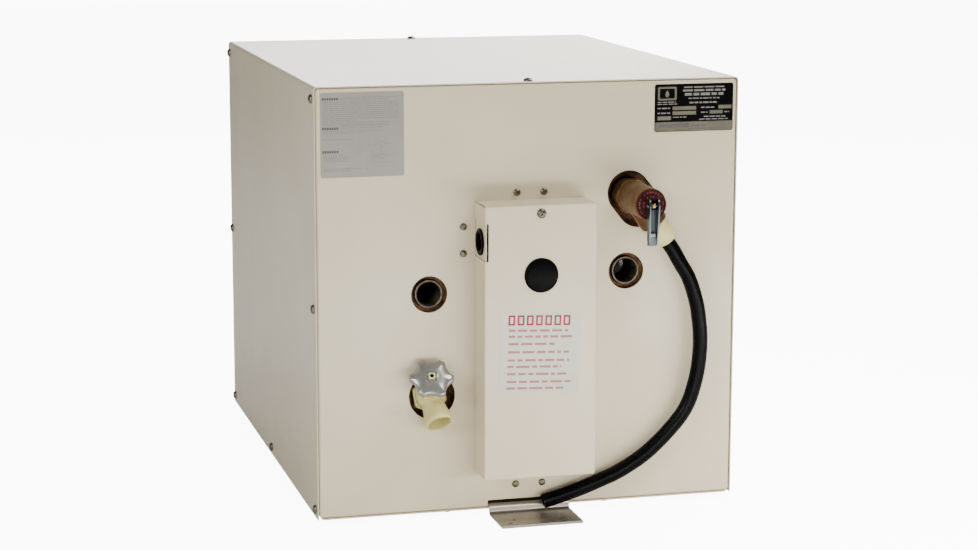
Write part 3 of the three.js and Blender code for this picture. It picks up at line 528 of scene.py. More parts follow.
# ---- casing ----
WRAP_BEND = 2.2
half_w = WIDTH / 2
side_x, top_z = half_w - SHEET / 2, HEIGHT - SHEET / 2
line = [(-side_x, 0), (-side_x, top_z), (side_x, top_z), (side_x, 0)]
wrap = prism("wrap", bent(line, SHEET, WRAP_BEND), "XZ", 0, DEPTH)
finish(wrap, "heater", IVORY, "wrap_cover", bevel=0.3, slot="ivory_paint")

PANEL_GAP = 0.6
PANEL_HALF_W = half_w - SHEET - PANEL_GAP
PANEL_TOP = HEIGHT - SHEET - PANEL_GAP
PANEL_BOTTOM = 1.8
PANEL_BOX = (-PANEL_HALF_W, PANEL_HALF_W, PANEL_BOTTOM, PANEL_TOP)
PANEL_SHAPE = (0, 22, SHEET, 2.4, 3.0)


def pan(name, x0, x1, z0, z1, y_face, depth, sheet, bend, corner, steps=6):
    """Shallow sheet pan: a face at y_face and flanges running back, with rounded bends and corners."""
    rings = []

    def ring(inset, y):
        r = max(corner - inset, 0.25)
        outline = rounded(x0 + inset, x1 - inset, z0 + inset, z1 - inset, r, 5)
        rings.append([P(x, y, z) for x, z in outline])

    for k in range(steps + 1):
        a = math.pi / 2 * k / steps
        ring(bend * (1 - math.sin(a)), y_face + bend * (1 - math.cos(a)))
    ring(0, y_face + depth)
    ring(sheet, y_face + depth)
    inner = max(bend - sheet, 0.3)
    for k in range(steps, -1, -1):
        a = math.pi / 2 * k / steps
        ring(sheet + inner * (1 - math.sin(a)), y_face + sheet + inner * (1 - math.cos(a)))
    n = len(rings[0])
    verts = [p for row in rings for p in row]
    rows = [list(range(i * n, i * n + n)) for i in range(len(rings))]
    faces = [rows[0], rows[-1]]
    for low, high in zip(rows, rows[1:]):
        faces += band(low, high)
    return mesh_object(name, verts, faces)


def obround(a, b, r, n=24):
    """Outline of a slot with round ends, whose middles are a and b."""
    around = math.atan2(b[1] - a[1], b[0] - a[0])
    points = []
    for (x, z), start in ((b, around - math.pi / 2), (a, around + math.pi / 2)):
        angles = [start + math.pi * k / n for k in range(n + 1)]
        points += [(x + r * math.cos(t), z + r * math.sin(t)) for t in angles]
    return points


def punch(outline, low=-2, high=4):
    """Outline across the front, from low to high in depth: a cutting tool, or a mark."""
    return prism("tool", outline, "XZ", low, high)


def foot_slot():
    """Cutting tool for the slot that a mounting bracket comes out of."""
    return punch(rounded(-42, 42, 2.1, 8.8, 0.8, 3), -2, 1.3)


PORT_HOLE_R, DRAIN_HOLE_R, RELIEF_HOLE_R = 18, 23, 22
panel = pan("front_face", *PANEL_BOX, *PANEL_SHAPE)
cut(panel,
    punch(circle(*HOT, PORT_HOLE_R)),
    punch(circle(*COLD, PORT_HOLE_R)),
    punch(circle(*DRAIN_HOLE, DRAIN_HOLE_R)),
    punch(obround((100.6, 310.7), (110.8, 298), RELIEF_HOLE_R)),
    punch(rounded(-53, 48, 42.3, 305.4, 3)),
    box_mm("tool", -55, -52, -2, 4, 249.7, 297.3),
    foot_slot(),
    box_mm("tool", -212, -206.4, 1.21, 24, 0, 3.3),
    box_mm("tool", 206.4, 212, 1.21, 24, 0, 3.3))
finish(panel, "heater", IVORY, "front_panel", bevel=0.18, slot="ivory_paint")

# Pairs of rows of raised dashes beside the ports.
stamps = []
for x, z in ((108, 357), (-100.5, 178), (-137, 104), (105.5, 205.5)):
    for row, shift in ((0, 0), (-2.6, 1.2)):
        for k in range(3):
            x0, x1 = x - 3.6 + shift + k * 2.9, x - 1.6 + shift + k * 2.9
            stamps.append(box_mm("stamp", x0, x1, -0.28, 0.25, z + row, z + row + 1))
finish(join("panel_stamps", stamps), "heater", IVORY, bevel=0.22, slot="ivory_paint")

# ---- mounting brackets ----
FOOT_HOLES = [(-25, -32.5), (25, -32.5), (-30.5, -42.5), (30.5, -42.5)]
FOOT_HOLE_R = 2.4
FOOT_Z = -4.85
STRIP, STRIP_BEND, STRIP_HALF_W = 2.7, 2.2, 41


def bracket(name):
    """Thick strip under the tank, bent down and out to a drilled foot."""
    line = [(-51.5, FOOT_Z), (-1.65, FOOT_Z), (-1.65, 4.65), (105, 4.65)]
    plate = prism(name, bent(line, STRIP, STRIP_BEND, 10), "YZ", -STRIP_HALF_W, STRIP_HALF_W)
    holes = [lathe("tool", rod(FOOT_HOLE_R, -4, 4), (x, y, FOOT_Z), (0, 0, 1), 32) for x, y in FOOT_HOLES]
    return cut(plate, *holes)


front_bracket = bracket("front_mount")
rear_bracket = bracket("rear_mount")
middle = P(0, DEPTH / 2, 0)
to_the_back = Matrix.Translation(middle) @ Matrix.Rotation(math.pi, 4, "Z") @ Matrix.Translation(-middle)
rear_bracket.data.transform(to_the_back)
finish(front_bracket, "heater", STAINLESS, "front_bracket", bevel=0.35, slot="stainless")
finish(rear_bracket, "heater", STAINLESS, "rear_bracket", bevel=0.35, slot="stainless")

rear = pan("rear_face", *PANEL_BOX, *PANEL_SHAPE)
cut(rear, foot_slot())
rear.data.transform(to_the_back)
finish(rear, "heater", IVORY, "rear_panel", bevel=0.18, slot="ivory_paint")


# ---- port couplings ----
COUPLING_R, COUPLING_BORE_R, COUPLING_FACE = 14.3, 10.6, 2.5
THREAD_PITCH, THREAD_DEPTH = 1.814, 0.75


def coupling(name, at, outer, bore, y0, y1):
    """Pipe coupling from y0 to y1, with rings for its thread."""
    x, z = at
    profile = [(bore + 1.6, y0), (outer - 0.7, y0), (outer, y0 + 0.7), (outer, y1), (bore, y1)]
    y = y1 - 1
    while y > y0 + 3.2:
        profile += [(bore, y), (bore + THREAD_DEPTH, y - THREAD_PITCH / 2)]
        y -= THREAD_PITCH
    profile += [(bore, y)]
    return lathe(name, profile, (x, 0, z), (0, 1, 0), 72, closed=True)


for side_name, at in (("hot", HOT), ("cold", COLD)):
    inner_end = (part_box(f"{side_name}_coupling")[1][1] - ORIGIN_Y) * 1000
    piece = coupling(f"{side_name}_port", at, COUPLING_R, COUPLING_BORE_R, COUPLING_FACE, inner_end)
    finish(piece, "heater", PORT_STEEL, f"{side_name}_coupling", bevel=0.12, slot="steel")


# ---- relief valve ----
def on_outlet(profile, name, seg):
    return lathe(name, profile, tuple(outlet), tuple(outlet_dir), seg)


def at_relief(profile, name, seg, closed=False):
    return lathe(name, profile, (RELIEF[0], 0, RELIEF[1]), (0, 1, 0), seg, closed)


valve = at_relief([(0, -61), (14.6, -61), (15.4, -60.6), (15.7, -59.9), (15.7, -57.2), (15.3, -56.5),
                   (15.2, -55.8), (15.4, -52), (15.8, -42), (16, -6), (16, 12), (15, 12.6), (13, 13),
                   (13, 46), (12, 47), (0, 47)], "relief_body", 96)
wrench = prism("tool", circle(*RELIEF, 19, 6), "XZ", -9, 6)
chamfer = at_relief([(0, -10), (15.6, -9.4), (16.8, -8.6), (17.6, -7), (17.6, 7), (0, 7)], "tool", 72)
boolean(wrench, [chamfer], "INTERSECT")
boss = on_outlet([(0, 0), (13.6, 0), (13.7, 14), (14, 20), (14, 29.3), (13.2, 30.5), (0, 30.5)], "tool", 72)
fuse(valve, wrench, boss)
cut(valve,
    at_relief(rod(11.5, -56, 8), "tool", 48),
    at_relief(rod(8, 7, 60), "tool", 32),
    at_relief(rod(3, -66, -50), "tool", 32),
    on_outlet(rod(9.4, 6, 40), "tool", 48))
finish(valve, "heater", BRONZE, "relief_valve_body", bevel=0.5, segments=3, slot="bronze")

plate_profile = [(3.7, -61.3), (3.7, -63.2), (5.5, -63.2), (5.8, -62.8), (6.7, -62.7), (6.9, -62.95),
                 (7.1, -62.7), (8.9, -62.7), (9.2, -63.0), (9.7, -63.0), (10.0, -62.7), (10.9, -62.7),
                 (11.1, -62.95), (11.3, -62.7), (12.9, -62.7), (13.3, -63.15), (14.3, -63.2),
                 (15.0, -62.8), (15.0, -61.3)]
disc = at_relief(plate_profile, "relief_disc", 96, closed=True)
finish(disc, "heater", MAROON, "relief_disc_plate", bevel=0.08, slot="dark_red")

# Two rings of short dashes, with some left out.
MARK_RINGS = ((7.3, 8.6, 15), (11.4, 12.8, 26))
MARKS_LEFT_OUT = 0.14
marks = []
mark_pick = random.Random(5)
for low, high, count in MARK_RINGS:
    for k in range(count):
        if mark_pick.random() < MARKS_LEFT_OUT:
            continue
        a = TAU * (k + mark_pick.uniform(-0.15, 0.15)) / count
        half = TAU / count * mark_pick.uniform(0.16, 0.34)
        corners = ((low, a - half), (high, a - half), (high, a + half), (low, a + half))
        outline = [(RELIEF[0] + r * math.cos(t), RELIEF[1] + r * math.sin(t)) for r, t in corners]
        marks.append(prism("tool", outline, "XZ", -62.85, -62.6))
finish(join("relief_disc_marks", marks), "heater", MAROON_MARK, bevel=0.05, slot="dark_red")

PIN_Y = -69.2
pin_hole = rod(1.8, -12, 12)
PIN_AT = (RELIEF[0], PIN_Y, RELIEF[1])
stem = at_relief([(0, PIN_Y - 3.6), (1.0, PIN_Y - 3.5), (1.9, PIN_Y - 2.9), (2.6, PIN_Y - 1.6),
                  (2.8, PIN_Y + 4), (2.4, PIN_Y + 4.8), (2.4, 4), (9.6, 4), (9.6, 7.7), (0, 7.7)],
                 "relief_valve_stem", 48)
cut(stem, lathe("tool", pin_hole, PIN_AT, (1, 0, 0), 32))
finish(stem, "relief_stem", BRASS, "relief_stem", bevel=0.2, slot="brass")
pin = lathe("relief_pin", [(0, -6.9), (1.9, -6.7), (2.2, -6.1), (2.2, -5.4), (1.45, -5.3), (1.45, 5.3),
                           (2.0, 5.4), (2.2, 6.0), (1.7, 6.6), (0, 6.7)], PIN_AT, (1, 0, 0), 32)
finish(pin, "relief_stem", LEVER_STEEL, "lever_pin", bevel=0.1, slot="brass")


def lever_width(above, top, middle, end, below):
    """The lever's outline from the front: half widths at its top, under the pin and at its end."""
    x, z = RELIEF
    return [(x - top, z + above), (x - middle, z - 12), (x - end, z - below),
            (x + end, z - below), (x + middle, z - 12), (x + top, z + above)]


def lever_box(name, half, y0, y1, z0, z1):
    """Box in the lever, from the pin in y and from the relief valve's axis in x and z."""
    x, z = RELIEF
    return box_mm(name, x - half, x + half, PIN_Y + y0, PIN_Y + y1, z + z0, z + z1)


arc = [math.pi * k / 16 for k in range(17)]
side = [(PIN_Y + 5 * math.cos(t) - 0.1, RELIEF[1] + 7 * math.sin(t)) for t in arc]
side += [(PIN_Y - 4.4, RELIEF[1] - 9), (PIN_Y - 3.4, RELIEF[1] - 16), (PIN_Y - 2.2, RELIEF[1] - 34),
         (PIN_Y - 0.5, RELIEF[1] - 37.6), (PIN_Y + 3, RELIEF[1] - 38.9), (PIN_Y + 4.9, RELIEF[1] - 38.9),
         (PIN_Y + 4.9, RELIEF[1] - 3)]
lever = prism("relief_test_lever", side, "YZ", RELIEF[0] - 5, RELIEF[0] + 5)
boolean(lever, [prism("tool", lever_width(8, 5.2, 5.0, 4.1, 42), "XZ", -80, -50)], "INTERSECT")
cut(lever,
    prism("tool", lever_width(9, 3.9, 3.8, 2.9, 43), "XZ", PIN_Y - 20, PIN_Y + 3.75),
    lever_box("tool", 3.81, -20, 12, -4.6, 20),
    lathe("tool", pin_hole, PIN_AT, (1, 0, 0), 32))
fuse(lever, lever_box("tool", 3.5, -0.4, 4.2, -38.6, -30.4))
finish(lever, "relief_lever", LEVER_STEEL, "relief_lever", bevel=0.25, slot="steel")
# Painted highlight: a thin raised pad in lighter steel near the lever's end.
finish(lever_box("lever_band", 2.6, 0.2, 3.7, -30.2, -26.8), "relief_lever", LEVER_PAINTED_HIGHLIGHT, bevel=0.3, slot="steel")

adapter = on_outlet([(0, 16), (9, 16), (9, 30.8), (9.8, 30.8), (10.6, 32.6), (11.5, 34.9), (12.3, 37.4),
                     (12.7, 39.8), (12.85, 42.5), (12.7, 45.2), (12.2, 47.7), (11.4, 49.9), (10.4, 51.7),
                     (9.2, 53), (7.8, 54), (4.1, 54), (4.1, 55.5), (4.5, 56.2), (4.1, 58.5), (4.1, 59.2),
                     (4.5, 59.9), (4.0, 62.6), (0, 63)], "relief_adapter", 72)
cut(adapter, on_outlet(rod(3, 10, 70), "tool", 32))
finish(adapter, "heater", NYLON, "hose_adapter", bevel=0.2, slot="nylon")


# ---- drain valve ----
# It is modelled upright about the casing's origin, then turned a little and moved to its port.
DRAIN_TURN = math.radians(-9.7)
to_port = Matrix.Translation(P(DRAIN[0], 0, DRAIN[1]))
swing = to_port @ Matrix.Rotation(DRAIN_TURN, 4, "Y") @ Matrix.Translation(-P(0, 0, 0))
KNOB_ANGLE = math.radians(42)
stem_origin = Vector((0, 5.5, 0))
stem_dir = Vector((0, -math.cos(KNOB_ANGLE), math.sin(KNOB_ANGLE)))
spout_origin = Vector((0, 1.2, -3.2))
spout_dir = Vector((0, -0.72, -0.694))
SPIN = math.radians(-15)


def on_stem(profile, name, seg):
    return lathe(name, profile, tuple(stem_origin), tuple(stem_dir), seg)


def on_spout(profile, name, seg):
    return lathe(name, profile, tuple(spout_origin), tuple(spout_dir), seg)


def on_back(profile, name, seg):
    return lathe(name, profile, (0, 0, 0), (0, 1, 0), seg)


def stem_point(a, b, t):
    """Point at a across and b up the slope from the stem's axis, and t along it."""
    across = Vector((1, 0, 0))
    slope = across.cross(stem_dir) * -1
    return P(*(stem_origin + stem_dir * t + across * a + slope * b))


def placed(obj):
    obj.data.transform(swing)
    return obj


def stem_frame_prism(name, outline, low, high):
    """Outline across the stem's axis, thick from low to high along it, in mm."""
    return slab(name, [stem_point(a, b, t) for t in (low, high) for a, b in outline])


def spun(outline):
    """The outline turned with the knob."""
    c, w = math.cos(SPIN), math.sin(SPIN)
    return [(a * c - b * w, a * w + b * c) for a, b in outline]


drain = on_back([(0, -11.5), (4, -11), (8, -9.2), (11.4, -6.2), (13.6, -2.2), (14.5, 1), (14.5, 8),
                 (9.9, 8.6), (9.9, 41), (9, 42), (0, 42)], "drain_body", 72)
collar = prism("tool", circle(0, 0, 18.4, 6, math.pi / 6), "XZ", 5, 11)
chamfer = on_back([(0, 4), (16.8, 4.8), (18.1, 5.9), (18.1, 12), (0, 12)], "tool", 72)
boolean(collar, [chamfer], "INTERSECT")
branch = stem_frame_prism("tool", circle(0, 0, 14, 6, SPIN), 3.2, 17)
chamfer = on_stem([(0, 3), (12.8, 3.1), (13.8, 4), (13.8, 15.8), (12.4, 17), (0, 17.2)], "tool", 72)
boolean(branch, [chamfer], "INTERSECT")
spout = on_spout([(0, 0), (11, 0), (11.2, 8), (11.7, 13), (12.7, 18), (13.7, 22.5), (14, 26), (13.9, 27.8),
                  (13.4, 28.8), (12.5, 29.5), (0, 29.5)], "tool", 72)
fuse(drain, collar, branch, spout)
low_end = stem_origin + stem_dir * 11
cut(drain,
    on_stem(rod(7.6, 6, 30), "tool", 48),
    lathe("tool", rod(4.6, 0, 24), tuple(low_end), (0, -9, -19), 32),
    on_spout([(0, 16.5), (9.6, 17.2), (10.6, 20), (10.9, 28), (11.5, 29.2), (12.2, 31), (0, 31)], "tool", 64),
    on_back(rod(4, 5.5, 60), "tool", 32))
placed(drain)
finish(drain, "heater", NYLON, "drain_valve_body", bevel=0.5, segments=3, slot="nylon")


def paint_shade_inside(obj, material, start, direction, low, high, radius):
    """Paints shade into a hollow: gives a second, darker material to the faces near an axis, from low to high
    along it; sizes in metres.
    """
    obj.data.materials.append(material)
    axis = (swing.to_3x3() @ direction).normalized()
    for face in obj.data.polygons:
        away = face.center - swing @ start
        along = away.dot(axis)
        if low < along < high and (away - axis * along).length < radius:
            face.material_index = 1


# Painted shade: the faces inside the spout's mouth get the darker nylon.
mouth = P(*spout_origin) + spout_dir.normalized() * 0.017
paint_shade_inside(drain, NYLON_PAINTED_SHADE, mouth, spout_dir, -0.001, 0.0115, 0.0111)

bonnet = on_stem([(0, 14.8), (7.2, 14.8), (7.2, 17.3), (11.2, 17.3), (11.2, 22.5), (8.4, 24.2), (8.4, 27),
                  (0, 27)], "bonnet", 64)
nut = stem_frame_prism("tool", circle(0, 0, 12.9, 6, math.pi / 6), 17.3, 22.5)
chamfer = on_stem([(0, 17), (11.7, 17.2), (12.2, 18), (12.2, 21.8), (11.2, 22.8), (0, 23)], "tool", 64)
boolean(nut, [chamfer], "INTERSECT")
fuse(bonnet, nut)
cut(bonnet, on_stem(rod(5.1, 10, 40), "tool", 32))
placed(bonnet)
finish(bonnet, "heater", NYLON, "drain_bonnet", bevel=0.3, slot="nylon")

spindle = on_stem([(0, 9.1), (6.3, 9.1), (6.3, 10.2), (4.6, 10.5), (4.6, 29.6), (4.2, 30), (0, 30)],
                  "drain_spindle", 48)
fuse(spindle, stem_frame_prism("tool", spun(rounded(-3.25, 3.25, -3.25, 3.25, 0.4, 3)), 29, 39.4))
cut(spindle, on_stem([(0, 33), (1.4, 33), (2.1, 41), (0, 41)], "tool", 24))
placed(spindle)
finish(spindle, "drain_knob", NYLON, "drain_stem", bevel=0.2, slot="nylon")
# Painted shade: the faces of the hole in the stem's end are given the black plastic.
paint_shade_inside(spindle, BLACK, P(*stem_origin) + stem_dir * 0.0365, stem_dir, -0.0037, 0.0028, 0.0021)

LOBES = 6
KNOB_R, SCALLOP_R, SCALLOP_AT = 21.6, 16, 33.8
DOME_R = 20.2


def scalloped(radius, scallop, reach, count):
    """A round outline with round scallops, whose circles stand at the given reach from the middle."""
    points = []
    for k in range(count):
        a = TAU * k / count
        b = (a - SPIN) % (TAU / LOBES) - TAU / (2 * LOBES)
        inside = scallop ** 2 - (reach * math.sin(b)) ** 2
        r = min(radius, reach * math.cos(b) - math.sqrt(inside)) if inside > 0 else radius
        points.append((r * math.cos(a), r * math.sin(a)))
    return points


def knob():
    """Lobed knob: domed top with a rolled rim, hollow underneath.

    A level is a share of the outline at a place along the stem."""
    n = 192
    levels = [(0.26, 38.5), (0.42, 38.4), (0.58, 38.1), (0.72, 37.6), (0.84, 36.9), (0.92, 36.2),
              (0.975, 35.5), (1.0, 34.6), (1.0, 31.6), (0.985, 31.15), (0.95, 31.0), (0.92, 31.3),
              (0.91, 33.8), (0.5, 34.9), (0.34, 35.2)]
    verts, faces = [], []
    for share, t in levels:
        lobed = min(1, max(0, (share - 0.3) / 0.5))
        for a, b in scalloped(KNOB_R, SCALLOP_R, SCALLOP_AT, n):
            r = math.hypot(a, b)
            radius = (DOME_R * (1 - lobed) + r * lobed) * share
            verts.append(stem_point(a / r * radius, b / r * radius, t))
    rings = [list(range(i * n, i * n + n)) for i in range(len(levels))]
    for low, high in zip(rings, rings[1:] + rings[:1]):
        faces += band(low, high)
    return mesh_object("drain_handle", verts, faces)


handle = knob()
hub = on_stem([(0, 31), (8.2, 31), (8.2, 37.3), (5.9, 38.5), (0, 38.5)], "tool", 48)
square = [(-3.55, -3.55), (3.55, -3.55), (3.55, 3.55), (-3.55, 3.55)]
fuse(handle, hub)
cut(handle, stem_frame_prism("tool", spun(square), 28, 42),
    stem_frame_prism("tool", spun(rounded(-4.6, 4.6, -4.6, 4.6, 0.3, 3)), 37.1, 42))
placed(handle)
finish(handle, "drain_knob", KNOB, "drain_knob", bevel=0.25, slot="knob")


# ---- junction cover ----
COVER = (-56, 56, 39.5, 308)
COVER_FACE = -40
COVER_SCREW_Z = 300
PLUG_HOLE_R, COVER_SCREW_HOLE_R = 13, 2.3
cover = pan("access_cover", *COVER, COVER_FACE, 39.7, 1.0, 1.6, 1.9)
seams = []
for sx in (-1, 1):
    for z, sz in ((COVER[2], -1), (COVER[3], 1)):
        x0, x1 = sorted((sx * 54.2, sx * 55.5))
        z0, z1 = sorted((z - sz * 2.4, z + sz * 1))
        seams.append(box_mm("tool", x0, x1, -38.2, 2, z0, z1))
cut(cover,
    punch(circle(*PLUG, PLUG_HOLE_R), -45, -35),
    punch(circle(0, COVER_SCREW_Z, COVER_SCREW_HOLE_R, 24), -45, -35),
    box_mm("tool", -60, -52.2, -45, 5, 255, 291.5),
    *seams)
finish(cover, "cover", IVORY, "junction_cover", bevel=0.15, slot="ivory_paint")

plug = lathe("vent_plug", [(0, -43.4), (6, -43.3), (11, -42.9), (14.6, -42.2), (16.4, -41.4), (17, -40.7),
                           (16.8, -40.3), (12.7, -40.3), (12.6, -38.2), (12.8, -36.6), (12.2, -33.3),
                           (10.8, -33.3), (10.8, -38.8), (0, -38.8)], (PLUG[0], 0, PLUG[1]), (0, 1, 0), 72)
finish(plug, "plug", BLACK, "hole_plug", bevel=0.15, slot="black_plastic")

PLATE_X, TAB_Y = -54.1, 2.1
ENTRY = (PLATE_X, -19.6, 271.4)
line = [(-74, TAB_Y), (PLATE_X, TAB_Y), (PLATE_X, -38)]
plate = prism("entry_plate", bent(line, SHEET, 0.8, 6), "XY", 250, 297)
cut(plate, lathe("tool", rod(10.8, -8, 8), ENTRY, (1, 0, 0), 48))
finish(plate, "heater", IVORY, "cable_plate", bevel=0.15, slot="ivory_paint")
bushing_profile = [(8.8, -2.0), (9.6, -2.7), (11.0, -3.0), (12.4, -2.8), (13.1, -2.2), (13.1, -1.2),
                   (12.8, -0.9), (10.5, -0.9), (10.4, 1.2), (10.6, 2.2), (10.2, 5), (9.6, 6), (8.7, 6),
                   (8.5, 5)]
bushing = lathe("entry_bushing", bushing_profile, ENTRY, (1, 0, 0), 72, closed=True)
finish(bushing, "heater", BLACK, "cable_bushing", bevel=0.1, slot="black_plastic")


# ---- screws ----
def screw_mesh(radius, height, shank, length):
    """Pan head with a cross recess; the head stands on the plane y = 0 and the shank goes along +Y."""
    head = [(0, -height), (radius * 0.45, -height * 0.98), (radius * 0.72, -height * 0.85),
            (radius * 0.9, -height * 0.58), (radius * 0.99, -height * 0.25), (radius, -0.1),
            (radius * 0.97, 0), (shank, 0), (shank, length - 0.8), (shank * 0.4, length), (0, length)]
    screw = lathe("screw", head, (0, 0, 0), (0, 1, 0), 40)
    arm, width = radius * 0.5, radius * 0.13
    depth = -height * 0.35
    cross = [(width, arm), (-width, arm), (-width, width), (-arm, width), (-arm, -width), (-width, -width),
             (-width, -arm), (width, -arm), (width, -width), (arm, -width), (arm, width), (width, width)]
    cut(screw, prism("tool", cross, "XZ", -height - 1, depth))
    screw.data.transform(Matrix.Translation(-P(0, 0, 0)))
    return screw


def drive(name, master, at, direction, spin, body, material, node=None, slot="nickel"):
    """Copy of a screw, standing at a place in mm with its shank along a direction."""
    obj = added(name, master.data.copy())
    q = Vector((0, 1, 0)).rotation_difference(Vector(direction)) @ Quaternion((0, 1, 0), spin)
    obj.matrix_world = Matrix.Translation(P(*at)) @ q.to_matrix().to_4x4()
    finish(obj, body, material, *([node] if node else []), bevel=0.08, angle=40, slot=slot)


SCREW_LIFT = 0.02
rng = random.Random(7)
small = screw_mesh(3.6, 2.3, 1.5, 7)
PANEL_SCREWS = {"top_left": (-13.6, 315), "top_right": (13.6, 315), "bottom_left": (-13.5, 23.7),
                "bottom_right": (13.5, 23.7), "plate_upper": (-67.1, 283.5), "plate_lower": (-67.1, 257.2)}
large = screw_mesh(4.6, 3, 1.7, 7)
ENDS = ((10, "front"), (509, "back"))
LEVELS = (("top", 410), ("middle", 207.5), ("bottom", 9))


def drive_turned(name, master, at, direction, node=None):
    """A casing or panel screw, turned at random."""
    drive(name, master, at, direction, rng.uniform(0, TAU), "heater", NICKEL, node)


for key, (x, z) in PANEL_SCREWS.items():
    drive_turned(f"bracket_screw_{key}", small, (x, -SCREW_LIFT, z), (0, 1, 0), f"panel_screw_{key}")
for sign, side_name in ((-1, "left"), (1, "right")):
    x = sign * (half_w + SCREW_LIFT)
    for level, z in LEVELS:
        for y, end in ENDS:
            node = f"casing_screw_{side_name}_{level}" if end == "front" else None
            drive_turned(f"case_screw_{side_name}_{end}_{level}", large, (x, y, z), (-sign, 0, 0), node)
    drive_turned(f"case_screw_{side_name}_base", large, (x, DEPTH / 2, 9), (-sign, 0, 0))
    for y, end in ENDS:
        drive_turned(f"under_screw_{side_name}_{end}", large, (sign * 81, y, -SCREW_LIFT), (0, 0, 1))
for y, end in ENDS:
    drive_turned(f"top_screw_{end}", large, (0, y, HEIGHT + SCREW_LIFT), (0, 0, -1))
cover_screw_at = (0, COVER_FACE - SCREW_LIFT, COVER_SCREW_Z)
drive("access_cover_screw", screw_mesh(4.7, 3, 1.9, 10), cover_screw_at, (0, 1, 0), 0.5, "cover", NICKEL,
      "cover_screw")
drive("earth_screw", screw_mesh(4, 2.6, 1.5, 2.4), (16, -18, 44.4), (0, 0, -1), 0.3, "heater", GREEN,
      "ground_screw", "green_metal")
# The screws that were copied are not pieces themselves.
for o in [o for o in bpy.data.objects if o.name.startswith("screw")]:
    bpy.data.objects.remove(o)


# ---- labels ----
# A label's box is its x0, x1, z0 and z1. Marks on it are outlines in millimetres from its top left corner,
# with the second number counted downwards.
LABEL_TILT = 2.4


def label(name, x0, x1, z0, z1, y, material, body, node, tilt=0.0, slot="label_grey"):
    """Thin film with rounded corners; tilt in degrees about its centre."""
    obj = prism(name, rounded(x0, x1, z0, z1, 2.0, 5), "XZ", y - 0.25, y - 0.02)
    if tilt:
        turn_about(obj, x0, x1, z0, z1, tilt)
    return finish(obj, body, material, node, bevel=0.06, slot=slot)


def turn_about(obj, x0, x1, z0, z1, tilt):
    centre = P((x0 + x1) / 2, 0, (z0 + z1) / 2)
    turned = Matrix.Rotation(math.radians(tilt), 4, "Y")
    obj.data.transform(Matrix.Translation(centre) @ turned @ Matrix.Translation(-centre))


def print_marks(name, marks, x0, x1, z0, z1, y, material, body, tilt=0.0, slot="label_grey"):
    """Flat printed marks, kept as one piece."""
    placed_marks = [[(x0 + a, z1 - b) for a, b in outline] for outline in marks]
    obj = join(name, [punch(outline, y - 0.29, y - 0.1) for outline in placed_marks])
    if tilt:
        turn_about(obj, x0, x1, z0, z1, tilt)
    return finish(obj, body, material, bevel=0, slot=slot)


def bar(a0, a1, b0, b1):
    return [(a0, b0), (a1, b0), (a1, b1), (a0, b1)]


def words(a0, a1, b, height, seed, low=2.2, high=6.5, gap=1.0):
    """A row of short dashes that stand for a line of print."""
    pick = random.Random(seed)
    out, a = [], a0
    while a < a1 - 1:
        end = min(a1, a + pick.uniform(low, high))
        out.append(bar(a, end, b - height / 2, b + height / 2))
        a = end + gap
    return out


def stroke(a0, b0, a1, b1, width=0.35):
    """A straight line of a drawing, with square ends."""
    d = Vector((a1 - a0, b1 - b0)).normalized() * width / 2
    n = Vector((-d.y, d.x))
    return [(a0 - d.x + n.x, b0 - d.y + n.y), (a1 + d.x + n.x, b1 + d.y + n.y),
            (a1 + d.x - n.x, b1 + d.y - n.y), (a0 - d.x - n.x, b0 - d.y - n.y)]


cover_box = (-41.5, 39.5, 124, 204)
label("cover_sticker", *cover_box, COVER_FACE, CLEAR_LABEL, "cover", "cover_label", tilt=LABEL_TILT)
# Hollow blocks for the heading, then rows of dashes: how far down each row is, and how wide.
heading = []
for k in range(7):
    a = 7.5 + 9.2 * k
    heading += [bar(a, a + 1.8, 3, 13), bar(a + 5, a + 6.8, 3, 13), bar(a + 1.8, a + 5, 3, 4.8),
                bar(a + 1.8, a + 5, 11.2, 13)]
print_marks("cover_sticker_heading", heading, *cover_box, COVER_FACE, RED_INK, "cover", LABEL_TILT)
rows = [(0.225, 0.77), (0.30, 0.82), (0.39, 0.60), (0.49, 0.79), (0.59, 0.80), (0.67, 0.70), (0.76, 0.77),
        (0.855, 0.83), (0.935, 0.74)]
lines = []
for i, (down, share) in enumerate(rows):
    lines += words(8.5, 8.5 + 62 * share / 0.8, 80 * down, 2.3, i + 3, 4, 14, 2.4)
print_marks("cover_sticker_lines", lines, *cover_box, COVER_FACE, PALE_RED_INK, "cover", LABEL_TILT)

left_box = (-206.3, -125.3, 335.4, 416.4)
label("left_sticker", *left_box, 0, LABEL, "heater", "instruction_label")


def paragraph(a0, ends, top, pitch, seed):
    """Rows of fine print from a0 to each row's end."""
    rows = []
    for i, end in enumerate(ends):
        rows += words(a0, end, top + pitch * i, 0.95, seed + i, 3, 9, 0.8)
    return rows


fine = paragraph(2.5, (76, 76, 76, 70, 70, 76, 76, 76, 76), 9.2, 1.95, 40)
fine += paragraph(2.5, (34, 68, 66), 26.6, 1.9, 60)
for i in range(2):
    fine += words(20, (66, 60)[i], 31.8 + 1.9 * i, 0.95, 70 + i, 3, 9, 0.8)
    fine += words(2.5, (60, 42)[i], 36.8 + 2.0 * i, 0.95, 75 + i, 3, 9, 0.8)
    fine += words(20, (76, 66)[i], 5.0 + 1.9 * i, 0.95, 80 + i, 3, 9, 0.8)
    fine += words(2.5, (40, 30)[i], 72.6 + 1.9 * i, 0.95, 85 + i, 3, 9, 0.8)
fine += words(2.5, 31, 44.6, 0.95, 90, 3, 9, 0.8)
for i, end in enumerate((22, 28, 27, 24, 29)):
    fine += words(3, end, 59.6 + 1.5 * i, 0.8, 95 + i, 3, 8, 0.7)
